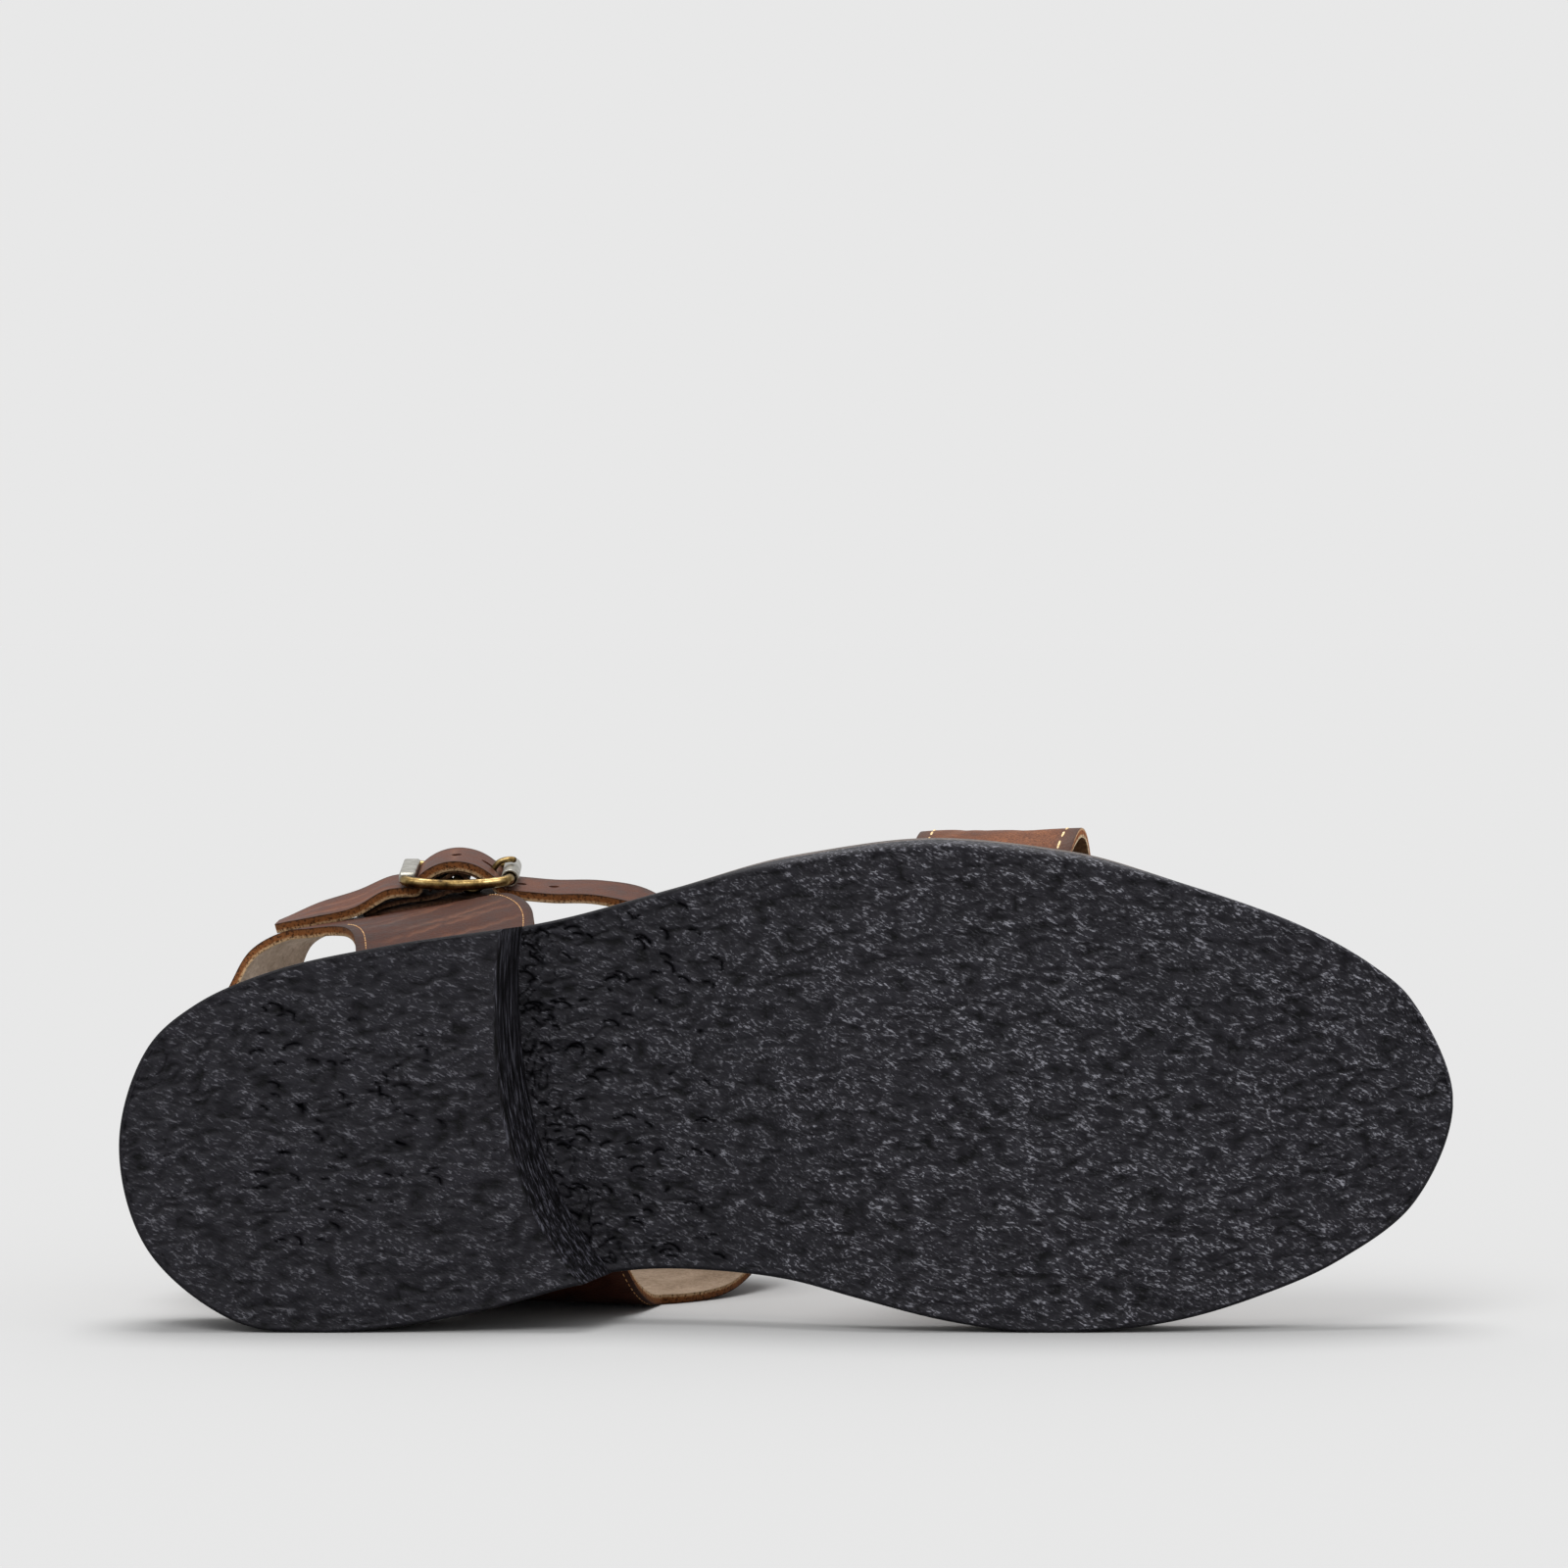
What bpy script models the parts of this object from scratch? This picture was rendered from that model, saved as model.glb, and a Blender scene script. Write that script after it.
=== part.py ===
"""Chunky sandal, right foot, lying on its medial side with the sole to the viewer.

It is modelled in a shoe frame and then laid down. In the shoe frame X runs from the heel
to the toe, +Y is the medial side, and Z goes up from the ground under the heel.
"""
import math

import bmesh
import bpy
import numpy as np
from mathutils import Matrix, Vector

# Sole sizes, in metres
SOLE_LENGTH = 0.290
BALL_WIDTH = 0.1066
HEEL_HEIGHT = 0.015
OUTSOLE_THICKNESS = 0.0070
MIDSOLE_THICKNESS = 0.0040
INSOLE_THICKNESS = 0.0030
TOE_SPRING = 0.0095
ARCH_LIFT = 0.0025
GROUND_BEVEL = 0.0010
MIDSOLE_STEP = 0.0005
# How far the sole's side leans outwards for each metre of height
SIDE_LEAN = 0.048

# Heel breast: its place at the middle, its forward sweep and its slope
BREAST_X = 0.0815
BREAST_SWEEP = 0.0185
BREAST_FLICK = 0.0018
BREAST_SLOPE_LATERAL = 0.0038
BREAST_SLOPE_MEDIAL = 0.0062

# Straps
LEATHER = 0.0022
CLEARANCE = 0.0003
LASTING_INSET = 0.0026
UPPER_RISE = 0.090
TOE_BAND_RISE_REAR = 0.044
TOE_BAND_RISE_FRONT = 0.037
PUNCHED_HOLE = 0.0024
PUNCH_DEPTH = 0.0120
HOLE_SPACING = 0.0075
# Place of the hole in use, as a share of half the buckle's length
PRONG_HOLE = 0.58

# Buckle, along the strap and across it, measured at the middle of its wire
STRAP_WIDTH = 0.0188
BUCKLE_LENGTH = 0.0243
BUCKLE_WIRE = 0.00125
BUCKLE_WIDTH = STRAP_WIDTH + 2 * (BUCKLE_WIRE + 2 * CLEARANCE)
BUCKLE_CORNER = 0.0024
BUCKLE_BOW = 0.0015
FLAT_BAR = 0.0038
FLAT_BAR_THICKNESS = 0.0018
ROLLER_RADIUS = 0.00205
ROLLER_LENGTH = 0.0164
PRONG_WIRE = 0.0007
CHAPE_LEATHER = 0.0011
CHAPE_WIDTH = 0.0150
CHAPE_SLOT = 0.0026
CHAPE_SLOT_LENGTH = 0.0080
CHAPE_SLOT_DEPTH = 0.0090
BUCKLE_LEAN_DEG = 10.5

# The sandal lies on a face of its hull that leans less than this from the medial side
REST_LEAN_DEG = 25.0

# Mesh fineness
SOLE_STATIONS = 40
SOLE_COLUMNS = 8
STRAP_COLUMNS = 4
TOE_BAND_COLUMNS = 6
SPAN_STEPS = 3

# Outline of the tread, right foot, from the heel's rear round the medial side to the toe
# and back: share of SOLE_LENGTH, share of BALL_WIDTH
OUTLINE = (
    (0.000, 0.000), (0.021, 0.214), (0.087, 0.361), (0.146, 0.383), (0.205, 0.373),
    (0.278, 0.337), (0.339, 0.293), (0.385, 0.275), (0.436, 0.274), (0.499, 0.289),
    (0.550, 0.322), (0.617, 0.368), (0.676, 0.391), (0.734, 0.389), (0.793, 0.368),
    (0.852, 0.322), (0.911, 0.255), (0.970, 0.138), (1.000, -0.066), (0.970, -0.268),
    (0.940, -0.343), (0.882, -0.431), (0.764, -0.541), (0.705, -0.576), (0.602, -0.601),
    (0.499, -0.560), (0.322, -0.449), (0.205, -0.403), (0.116, -0.352), (0.057, -0.283),
    (0.021, -0.194),
)

# Side view of the tread as shares of SOLE_LENGTH: where the waist leaves the heel, and
# where the flat forefoot starts and ends
WAIST_START = 0.345
FOREFOOT_START = 0.590
FOREFOOT_END = 0.755

# Where the quarters stand on the sole, as shares of SOLE_LENGTH: rear edge, front edge
LATERAL_QUARTER = (0.171, 0.3066)
MEDIAL_QUARTER = (0.228, 0.372)

# Edges of the ankle strap from the lateral quarter round the heel, up the medial side and
# over the instep. Each row: lower edge x, y, z, then upper edge x, y, z, as shares of
# SOLE_LENGTH, BALL_WIDTH and UPPER_RISE above the midsole
ANKLE_STRAP = (
    (0.1660, -0.4100, 0.180, 0.3035, -0.4600, 0.210),
    (0.1570, -0.4260, 0.330, 0.2910, -0.4800, 0.410),
    (0.1480, -0.4290, 0.420, 0.2720, -0.4880, 0.570),
    (0.1390, -0.4290, 0.460, 0.2540, -0.4870, 0.700),
    (0.1240, -0.4250, 0.480, 0.2060, -0.4700, 0.785),
    (0.1034, -0.4180, 0.490, 0.1560, -0.4480, 0.755),
    (0.0785, -0.3800, 0.490, 0.1205, -0.4110, 0.690),
    (0.0635, -0.3120, 0.483, 0.1080, -0.3380, 0.665),
    (0.0460, -0.2080, 0.478, 0.0925, -0.2250, 0.655),
    (0.0350, -0.1030, 0.478, 0.0800, -0.1120, 0.650),
    (0.0310, 0.0000, 0.478, 0.0740, 0.0000, 0.650),
    (0.0360, 0.1030, 0.478, 0.0800, 0.0940, 0.650),
    (0.0520, 0.2150, 0.478, 0.0950, 0.1820, 0.655),
    (0.0800, 0.2980, 0.478, 0.1180, 0.2440, 0.660),
    (0.1240, 0.3300, 0.478, 0.1490, 0.2780, 0.672),
    (0.1720, 0.3370, 0.456, 0.1870, 0.2930, 0.682),
    (0.2280, 0.3380, 0.400, 0.2360, 0.3010, 0.690),
    (0.2760, 0.3390, 0.345, 0.2820, 0.3070, 0.700),
    (0.3240, 0.3430, 0.300, 0.3240, 0.3090, 0.722),
    (0.3660, 0.3480, 0.280, 0.3590, 0.3060, 0.767),
    (0.4010, 0.3525, 0.297, 0.3860, 0.2880, 0.822),
    (0.4340, 0.3490, 0.378, 0.4100, 0.2460, 0.883),
    (0.4580, 0.3300, 0.478, 0.4310, 0.1800, 0.933),
    (0.4790, 0.2720, 0.600, 0.4450, 0.0950, 0.967),
    (0.4930, 0.1700, 0.722, 0.4530, 0.0000, 0.983),
    (0.4980, 0.0450, 0.794, 0.4550, -0.1130, 0.978),
    (0.4930, -0.0850, 0.800, 0.4480, -0.2350, 0.950),
    (0.4760, -0.2250, 0.767, 0.4340, -0.3560, 0.911),
    (0.4450, -0.3560, 0.711, 0.4130, -0.4550, 0.867),
    (0.4050, -0.4480, 0.667, 0.3850, -0.5080, 0.844),
    (0.3500, -0.4920, 0.640, 0.3500, -0.5260, 0.838),
)
# The rows of that table where the medial quarter hangs from the strap
QUARTER_ROWS = (16, 20)
# The medial quarter's belly: how far up its height it has come out to the strap's width
QUARTER_BELLY = 0.30

# Free end of the strap behind the buckle: the same columns
STRAP_END = (
    (0.1560, -0.4760, 0.614, 0.1560, -0.5140, 0.816),
    (0.1250, -0.4590, 0.590, 0.1250, -0.4870, 0.794),
    (0.1020, -0.4450, 0.575, 0.1020, -0.4600, 0.780),
    (0.0940, -0.4410, 0.600, 0.0940, -0.4500, 0.745),
)

# Buckle's centre as shares of SOLE_LENGTH, BALL_WIDTH and UPPER_RISE above the midsole
BUCKLE_CENTRE = (0.2370, -0.5545, 0.755)

# How far the strap runs in behind the roller, and how much deeper it lies there: two
# places before the roller, from the outer one
STRAP_LEAD_IN = ((0.0100, 0.0010), (0.0045, 0.0005))
# The same for where it runs out from under the flat bar
STRAP_LEAD_OUT = ((0.0, 0.0001), (0.0040, 0.0006))
# Where the strap goes under the flat bar: ahead of the bar's edge, and above its final depth
STRAP_DIP = (0.0003, 0.0002)
# Degrees round the roller and over the centre bar at which the strap's middle is placed
ROLLER_WRAP_DEG = (0.0, -25.0)
BAR_ARCH_DEG = (40.0, 0.0, -40.0)
# The holes in the strap, counted along it from the one in use, whose punch is longer
PUNCHED_STEPS = (-1, 0, 1, 2)
OBLONG = 1.5

# The prong's way from under the centre bar through the strap's hole, and on over the
# roller: share of the way to the hole, height in metres
PRONG_TO_HOLE = ((0.44, -0.0044), (0.76, -0.0033), (0.96, -0.0016), (1.11, 0.0004))
# Ends of the chape's upper and lower folds: share of half the buckle's length, and height
# over the centre bar in metres
CHAPE_UPPER_FOLD = ((-0.55, -0.0020), (-0.30, 0.0003))
CHAPE_LOWER_FOLD = ((-0.50, -0.0038), (-1.05, -0.0044), (-1.50, -0.0056))

# Toe band: where its rear and front edges meet the sole, as shares of SOLE_LENGTH
TOE_BAND_LATERAL = (0.597, 0.708)
TOE_BAND_MEDIAL = (0.640, 0.780)
# How much its rear and front edges swell over the sole's lateral edge
TOE_BAND_SWELL = (1.0, 2.1)
# Its section from the lateral side to the medial side: share of the width between its
# feet, share of its rise
TOE_BAND_SECTION = (
    (0.000, 0.00), (0.000, 0.06), (-0.025, 0.19), (-0.037, 0.36), (-0.019, 0.57),
    (0.060, 0.78), (0.230, 0.93), (0.460, 1.00), (0.680, 0.98), (0.850, 0.86),
    (0.945, 0.66), (0.980, 0.42), (0.995, 0.20), (1.000, 0.06), (1.000, 0.00),
)

# Name: linear base colour, roughness, metallic
FINISHES = {
    "crepe_rubber": ((0.020, 0.021, 0.026), 0.75, 0.0),
    "midsole_rubber": ((0.095, 0.080, 0.072), 0.70, 0.0),
    "footbed_leather": ((0.250, 0.150, 0.090), 0.60, 0.0),
    "tan_leather": ((0.330, 0.115, 0.045), 0.50, 0.0),
    "brown_leather": ((0.155, 0.070, 0.042), 0.50, 0.0),
    "brass": ((0.260, 0.160, 0.050), 0.35, 1.0),
    "nickel": ((0.560, 0.550, 0.510), 0.30, 1.0),
}


def clear_scene():
    """Empty the scene and drop the meshes that it held."""
    for item in list(bpy.data.objects):
        bpy.data.objects.remove(item, do_unlink=True)


def new_collection(name):
    collection = bpy.data.collections.new(name)
    bpy.context.scene.collection.children.link(collection)
    return collection


def new_material(name):
    """A Principled material in the part's colour."""
    colour, roughness, metallic = FINISHES[name]
    material = bpy.data.materials.new(name)
    material.use_nodes = True
    shader = material.node_tree.nodes["Principled BSDF"]
    shader.inputs["Base Color"].default_value = (*colour, 1.0)
    shader.inputs["Roughness"].default_value = roughness
    shader.inputs["Metallic"].default_value = metallic
    return material


def mix(near, far, low, high, at):
    return near * (high - at) / (high - low) + far * (at - low) / (high - low)


def smooth_curve(points, steps, closed=False):
    """Centripetal Catmull-Rom curve through the points, with steps samples a span."""
    points = [np.array(point, dtype=float) for point in points]
    if closed:
        chain = [points[-1]] + points + points[:2]
    else:
        chain = [2 * points[0] - points[1]] + points + [2 * points[-1] - points[-2]]
    samples = []
    for p0, p1, p2, p3 in zip(chain, chain[1:], chain[2:], chain[3:]):
        t0 = 0.0
        t1 = t0 + math.sqrt(np.linalg.norm(p1 - p0))
        t2 = t1 + math.sqrt(np.linalg.norm(p2 - p1))
        t3 = t2 + math.sqrt(np.linalg.norm(p3 - p2))
        for step in range(steps):
            at = t1 + (t2 - t1) * step / steps
            a1 = mix(p0, p1, t0, t1, at)
            a2 = mix(p1, p2, t1, t2, at)
            a3 = mix(p2, p3, t2, t3, at)
            b1 = mix(a1, a2, t0, t2, at)
            b2 = mix(a2, a3, t1, t3, at)
            samples.append(mix(b1, b2, t1, t2, at))
    if not closed:
        samples.append(points[-1])
    return np.array(samples)


class Outline:
    """The sole's outline, drawn in from its edge by an inset, as two edges over x."""

    def __init__(self, inset=0.0):
        size = np.array((SOLE_LENGTH, BALL_WIDTH))
        ring = smooth_curve([np.array(row) * size for row in OUTLINE], 8, closed=True)
        along = np.roll(ring, -1, axis=0) - np.roll(ring, 1, axis=0)
        along /= np.linalg.norm(along, axis=1)[:, None]
        # The ring runs from the heel by the medial side, so its right hand points inwards
        inward = np.stack((along[:, 1], -along[:, 0]), axis=1)
        ring = ring + inward * inset
        rear = int(np.argmin(ring[:, 0]))
        ring = np.roll(ring, -rear, axis=0)
        toe = int(np.argmax(ring[:, 0]))
        self.medial = ring[:toe + 1]
        self.lateral = np.vstack((ring[toe:], ring[:1]))[::-1]
        self.rear = ring[0, 0]
        self.toe = ring[toe, 0]

    def medial_y(self, x):
        return float(np.interp(x, self.medial[:, 0], self.medial[:, 1]))

    def lateral_y(self, x):
        return float(np.interp(x, self.lateral[:, 0], self.lateral[:, 1]))

    def across(self, x, share):
        """Y at a share of the width, 0 on the lateral edge and 1 on the medial one."""
        return self.lateral_y(x) + share * (self.medial_y(x) - self.lateral_y(x))


def ease(share):
    """A smooth step from 0 to 1."""
    share = min(max(share, 0.0), 1.0)
    return 0.5 - 0.5 * math.cos(math.pi * share)


def tread_height(x, share):
    """Height of the outsole's underside: raised heel, waist, flat forefoot, toe spring."""
    along = x / SOLE_LENGTH
    waist = (along - WAIST_START) / (FOREFOOT_START - WAIST_START)
    height = HEEL_HEIGHT * (1.0 - ease(waist))
    if 0.0 < waist < 1.0:
        height += ARCH_LIFT * math.sin(math.pi * waist) ** 2 * share ** 2
    toe = max(0.0, (along - FOREFOOT_END) / (1.0 - FOREFOOT_END))
    return height + TOE_SPRING * toe ** 1.8


def midsole_top(x, share):
    return tread_height(x, share) + OUTSOLE_THICKNESS + MIDSOLE_THICKNESS


def breast_x(share, height):
    """Front edge of the heel block, bowed backwards and sloping forward as it rises."""
    ground = BREAST_X + BREAST_SWEEP * share ** 3 + BREAST_FLICK * (1.0 - share) ** 8
    slope = BREAST_SLOPE_LATERAL + (BREAST_SLOPE_MEDIAL - BREAST_SLOPE_LATERAL) * share
    return ground + slope * height / HEEL_HEIGHT


def sole_grid(inset, height, front=None):
    """Rows of points over the sole from the rear to the front, at a height function.

    A row has a point for each share of the width. The rear row is a single point, and the
    last one too, unless a front function gives the block's own front edge.
    """
    outline = Outline(inset)
    shares = [column / SOLE_COLUMNS for column in range(SOLE_COLUMNS + 1)]
    stations = SOLE_STATIONS // 2 if front else SOLE_STATIONS
    rows = []
    for station in range(stations + 1):
        turn = 0.5 * math.pi if front else math.pi
        part = 1.0 - math.cos(turn * station / stations)
        if not front:
            part /= 2.0
        row = []
        for share in shares:
            end = front(share) - inset if front else outline.toe
            x = outline.rear + (end - outline.rear) * part
            y = outline.across(x, share)
            z = height(x, share)
            row.append((x, y - SIDE_LEAN * z, z))
        if station == 0 or (station == stations and not front):
            row = [row[SOLE_COLUMNS // 2]]
        rows.append(row)
    return rows


def rim_places(rows):
    """Row and column of each point round the edge of such a grid."""
    last = len(rows) - 1
    places = [(0, 0)] + [(row, 0) for row in range(1, last)]
    places += [(last, column) for column in range(len(rows[last]))]
    places += [(row, SOLE_COLUMNS) for row in range(last - 1, 0, -1)]
    return places


def grid_faces(bm, points, rows):
    """Quads between the rows, with a fan to each row that is a single point."""
    for near, far in zip(range(len(rows)), range(1, len(rows))):
        for column in range(SOLE_COLUMNS):
            corners = [points[near, min(place, len(rows[near]) - 1)] for place in (column, column + 1)]
            corners += [points[far, min(place, len(rows[far]) - 1)] for place in (column + 1, column)]
            bm.faces.new(list(dict.fromkeys(corners)))


def face_outwards(bm):
    bmesh.ops.recalc_face_normals(bm, faces=bm.faces)
    if bm.calc_volume(signed=True) < 0.0:
        bmesh.ops.reverse_faces(bm, faces=bm.faces)


def finish_object(name, bm, collection, finish, smooth_deg=35.0):
    """Turn the mesh into a named object with its material."""
    face_outwards(bm)
    mesh = bpy.data.meshes.new(name)
    bm.to_mesh(mesh)
    bm.free()
    mesh.shade_smooth()
    mesh.set_sharp_from_angle(angle=math.radians(smooth_deg))
    item = bpy.data.objects.new(name, mesh)
    item.data.materials.append(finish)
    collection.objects.link(item)
    return item


def sole_layer(name, rings, collection, finish, front=None):
    """A layer of the sole through rings of (inset, height function), bottom to top."""
    bm = bmesh.new()
    rims = []
    for level, (inset, height) in enumerate(rings):
        level_front = None
        if front:
            def level_front(share, height=height):
                return front(share, height(BREAST_X, share))
        rows = sole_grid(inset, height, level_front)
        places = rim_places(rows)
        closing = level in (0, len(rings) - 1)
        kept = [
            (row, column) for row in range(len(rows)) for column in range(len(rows[row]))
        ] if closing else places
        points = {place: bm.verts.new(rows[place[0]][place[1]]) for place in kept}
        if closing:
            grid_faces(bm, points, rows)
        rims.append([points[place] for place in places])
    for lower, upper in zip(rims, rims[1:]):
        count = len(lower)
        for place in range(count):
            after = (place + 1) % count
            bm.faces.new((lower[place], lower[after], upper[after], upper[place]))
    return finish_object(name, bm, collection, finish)


def offset_height(base, rise):
    return lambda x, share: base(x, share) + rise


def build_sole(collection, finishes):
    """Heel block, outsole, midsole and insole, each a clearance above the one below."""
    def ground(x, share):
        return 0.0

    under_outsole = offset_height(tread_height, -CLEARANCE)
    sole_layer(
        "heel_block",
        ((GROUND_BEVEL, ground), (0.0, offset_height(ground, GROUND_BEVEL)), (0.0, under_outsole)),
        collection, finishes["crepe_rubber"], breast_x,
    )
    outsole_top = offset_height(tread_height, OUTSOLE_THICKNESS - CLEARANCE)
    sole_layer(
        "outsole",
        ((GROUND_BEVEL, tread_height), (0.0, offset_height(tread_height, GROUND_BEVEL)),
         (0.0, outsole_top)),
        collection, finishes["crepe_rubber"],
    )
    midsole_base = offset_height(tread_height, OUTSOLE_THICKNESS)
    sole_layer(
        "midsole",
        ((MIDSOLE_STEP, midsole_base), (MIDSOLE_STEP, midsole_top)),
        collection, finishes["midsole_rubber"],
    )
    insole_inset = LASTING_INSET + LEATHER / 2 + 2 * CLEARANCE
    sole_layer(
        "insole",
        ((insole_inset, offset_height(midsole_top, CLEARANCE)),
         (insole_inset, offset_height(midsole_top, CLEARANCE + INSOLE_THICKNESS - GROUND_BEVEL)),
         (insole_inset + GROUND_BEVEL, offset_height(midsole_top, CLEARANCE + INSOLE_THICKNESS))),
        collection, finishes["footbed_leather"],
    )


def strap_foot(along, side, height=0.0):
    """Middle of a strap's leather where it stands on the midsole, at a share of length."""
    outline = Outline(LASTING_INSET)
    x = along * SOLE_LENGTH
    share = 1.0 if side == "medial" else 0.0
    z = midsole_top(x, share) + CLEARANCE
    return np.array((x, outline.across(x, share) - SIDE_LEAN * z, z + height))


def upper_point(along, across, rise):
    """A point of the upper from its shares of length, ball width and rise."""
    z = HEEL_HEIGHT + OUTSOLE_THICKNESS + MIDSOLE_THICKNESS + rise * UPPER_RISE
    return np.array((along * SOLE_LENGTH, across * BALL_WIDTH, z))


def sheet_faces(bm, rows):
    """Quads between rows of vertices."""
    for near, far in zip(rows, rows[1:]):
        for column in range(len(near) - 1):
            bm.faces.new((near[column], near[column + 1], far[column + 1], far[column]))


def leather_wall(item, thickness):
    """Give the sheet its real thickness, half to each side."""
    wall = item.modifiers.new("Leather", "SOLIDIFY")
    wall.thickness = thickness
    wall.offset = 0.0
    wall.use_even_offset = True


class BuckleFrame:
    """The buckle's own axes: s along the strap, w across it, t outwards from the foot."""

    def __init__(self):
        lean = math.radians(BUCKLE_LEAN_DEG)
        self.centre = upper_point(*BUCKLE_CENTRE)
        self.along = np.array((1.0, 0.0, 0.0))
        self.across = np.array((0.0, -math.sin(lean), math.cos(lean)))
        self.out = np.array((0.0, -math.cos(lean), -math.sin(lean)))

    def point(self, s, w, t):
        return self.centre + s * self.along + w * self.across + t * self.out

    def matrix(self):
        """Matrix that takes local x, y, z to along, across and out."""
        columns = np.stack((self.along, self.across, self.out, self.centre), axis=1)
        return Matrix([list(row) for row in columns] + [[0.0, 0.0, 0.0, 1.0]])


def strap_over_bar():
    """Height of the strap's middle where it passes over the centre bar."""
    fold = BUCKLE_WIRE + CLEARANCE + CHAPE_LEATHER + CLEARANCE
    return -BUCKLE_BOW + fold + LEATHER / 2 + CLEARANCE


def threading():
    """The strap's way through the buckle: place along it and height of its middle.

    It wraps the roller from below, arches over the chape on the centre bar and dips under
    the flat bar.
    """
    half = BUCKLE_LENGTH / 2
    roll = ROLLER_RADIUS + CLEARANCE + LEATHER / 2 + CLEARANCE / 2
    arch = strap_over_bar() + BUCKLE_BOW
    under_flat = -(BUCKLE_WIRE + CLEARANCE + LEATHER / 2 + CLEARANCE / 2)
    flat_edge = -half - BUCKLE_WIRE + FLAT_BAR
    way = [(half + run, -roll - depth) for run, depth in STRAP_LEAD_IN]
    for degrees in ROLLER_WRAP_DEG:
        turn = math.radians(degrees)
        way.append((half + roll * math.sin(turn), -roll * math.cos(turn)))
    for degrees in BAR_ARCH_DEG:
        turn = math.radians(degrees)
        way.append((arch * math.sin(turn), -BUCKLE_BOW + arch * math.cos(turn)))
    way.append((flat_edge + STRAP_DIP[0], under_flat + STRAP_DIP[1]))
    way += [(-half - run, under_flat - depth) for run, depth in STRAP_LEAD_OUT]
    return way


def strap_rails():
    """Lower and upper edge of the whole strap, sampled alike."""
    buckle = BuckleFrame()
    lower, upper = [], []
    for height in (0.0, LEATHER):
        lower.append(strap_foot(LATERAL_QUARTER[0], "lateral", height))
        upper.append(strap_foot(LATERAL_QUARTER[1], "lateral", height))
    for row in ANKLE_STRAP:
        lower.append(upper_point(*row[:3]))
        upper.append(upper_point(*row[3:]))
    for s, t in threading():
        lower.append(buckle.point(s, -STRAP_WIDTH / 2, t))
        upper.append(buckle.point(s, STRAP_WIDTH / 2, t))
    for row in STRAP_END:
        lower.append(upper_point(*row[:3]))
        upper.append(upper_point(*row[3:]))
    return smooth_curve(lower, SPAN_STEPS), smooth_curve(upper, SPAN_STEPS)


def build_ankle_strap(collection, cutters, finish):
    """Quarters, heel strap and instep strap as one wall of leather."""
    lower, upper = strap_rails()
    bm = bmesh.new()
    rows = []
    for low, high in zip(lower, upper):
        shares = [column / STRAP_COLUMNS for column in range(STRAP_COLUMNS + 1)]
        rows.append([bm.verts.new(low + (high - low) * share) for share in shares])
    sheet_faces(bm, rows)
    # The table's first row follows the two rows of the lateral quarter's foot
    first, last = ((row + 2) * SPAN_STEPS for row in QUARTER_ROWS)
    hung = [[rows[station][0] for station in range(first, last + 1)]]
    for level in range(1, STRAP_COLUMNS + 2):
        down = min(1.0, level / STRAP_COLUMNS)
        height = LEATHER if level <= STRAP_COLUMNS else 0.0
        line = []
        for station in range(first, last + 1):
            top = np.array(rows[station][0].co)
            part = (station - first) / (last - first)
            along = MEDIAL_QUARTER[0] + part * (MEDIAL_QUARTER[1] - MEDIAL_QUARTER[0])
            foot = strap_foot(along, "medial", height)
            belly = np.array((
                (top[0] + foot[0]) / 2, top[1], foot[2] + QUARTER_BELLY * (top[2] - foot[2]),
            ))
            point = (1 - down) ** 2 * top + 2 * down * (1 - down) * belly + down ** 2 * foot
            line.append(bm.verts.new(point))
        hung.append(line)
    sheet_faces(bm, hung)
    item = finish_object("ankle_strap", bm, collection, finish, 60.0)
    leather_wall(item, LEATHER)
    for number, s, length in punched_holes():
        cutter = hole_cutter(f"strap_hole_{number}", s, length, cutters)
        cut(item, cutter)
    return item


def punched_holes():
    """Holes along the strap, with the long one that the prong goes through."""
    prong_place = PRONG_HOLE * BUCKLE_LENGTH / 2
    holes = []
    for number, step in enumerate(PUNCHED_STEPS):
        length = OBLONG * PUNCHED_HOLE if step == 0 else PUNCHED_HOLE
        holes.append((number, prong_place + step * HOLE_SPACING, length))
    return holes


def cut(item, cutter, operation="DIFFERENCE"):
    change = item.modifiers.new(cutter.name, "BOOLEAN")
    change.operation = operation
    change.solver = "EXACT"
    change.object = cutter


def as_cutter(item, cutters):
    """Keep the object out of the part, as a guide for a Boolean."""
    for owner in list(item.users_collection):
        owner.objects.unlink(item)
    cutters.objects.link(item)
    item.hide_render = True
    item.display_type = "WIRE"
    return item


def hole_cutter(name, s, length, cutters):
    """A round or oblong punch along the buckle's outward axis."""
    buckle = BuckleFrame()
    bm = bmesh.new()
    bmesh.ops.create_cone(
        bm, cap_ends=True, segments=12, radius1=PUNCHED_HOLE / 2, radius2=PUNCHED_HOLE / 2,
        depth=PUNCH_DEPTH,
    )
    for vert in bm.verts:
        vert.co.x *= length / PUNCHED_HOLE
    bm.transform(buckle.matrix() @ Matrix.Translation((s, 0.0, 0.0)))
    face_outwards(bm)
    mesh = bpy.data.meshes.new(name)
    bm.to_mesh(mesh)
    bm.free()
    item = bpy.data.objects.new(name, mesh)
    bpy.context.scene.collection.objects.link(item)
    return as_cutter(item, cutters)


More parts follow.
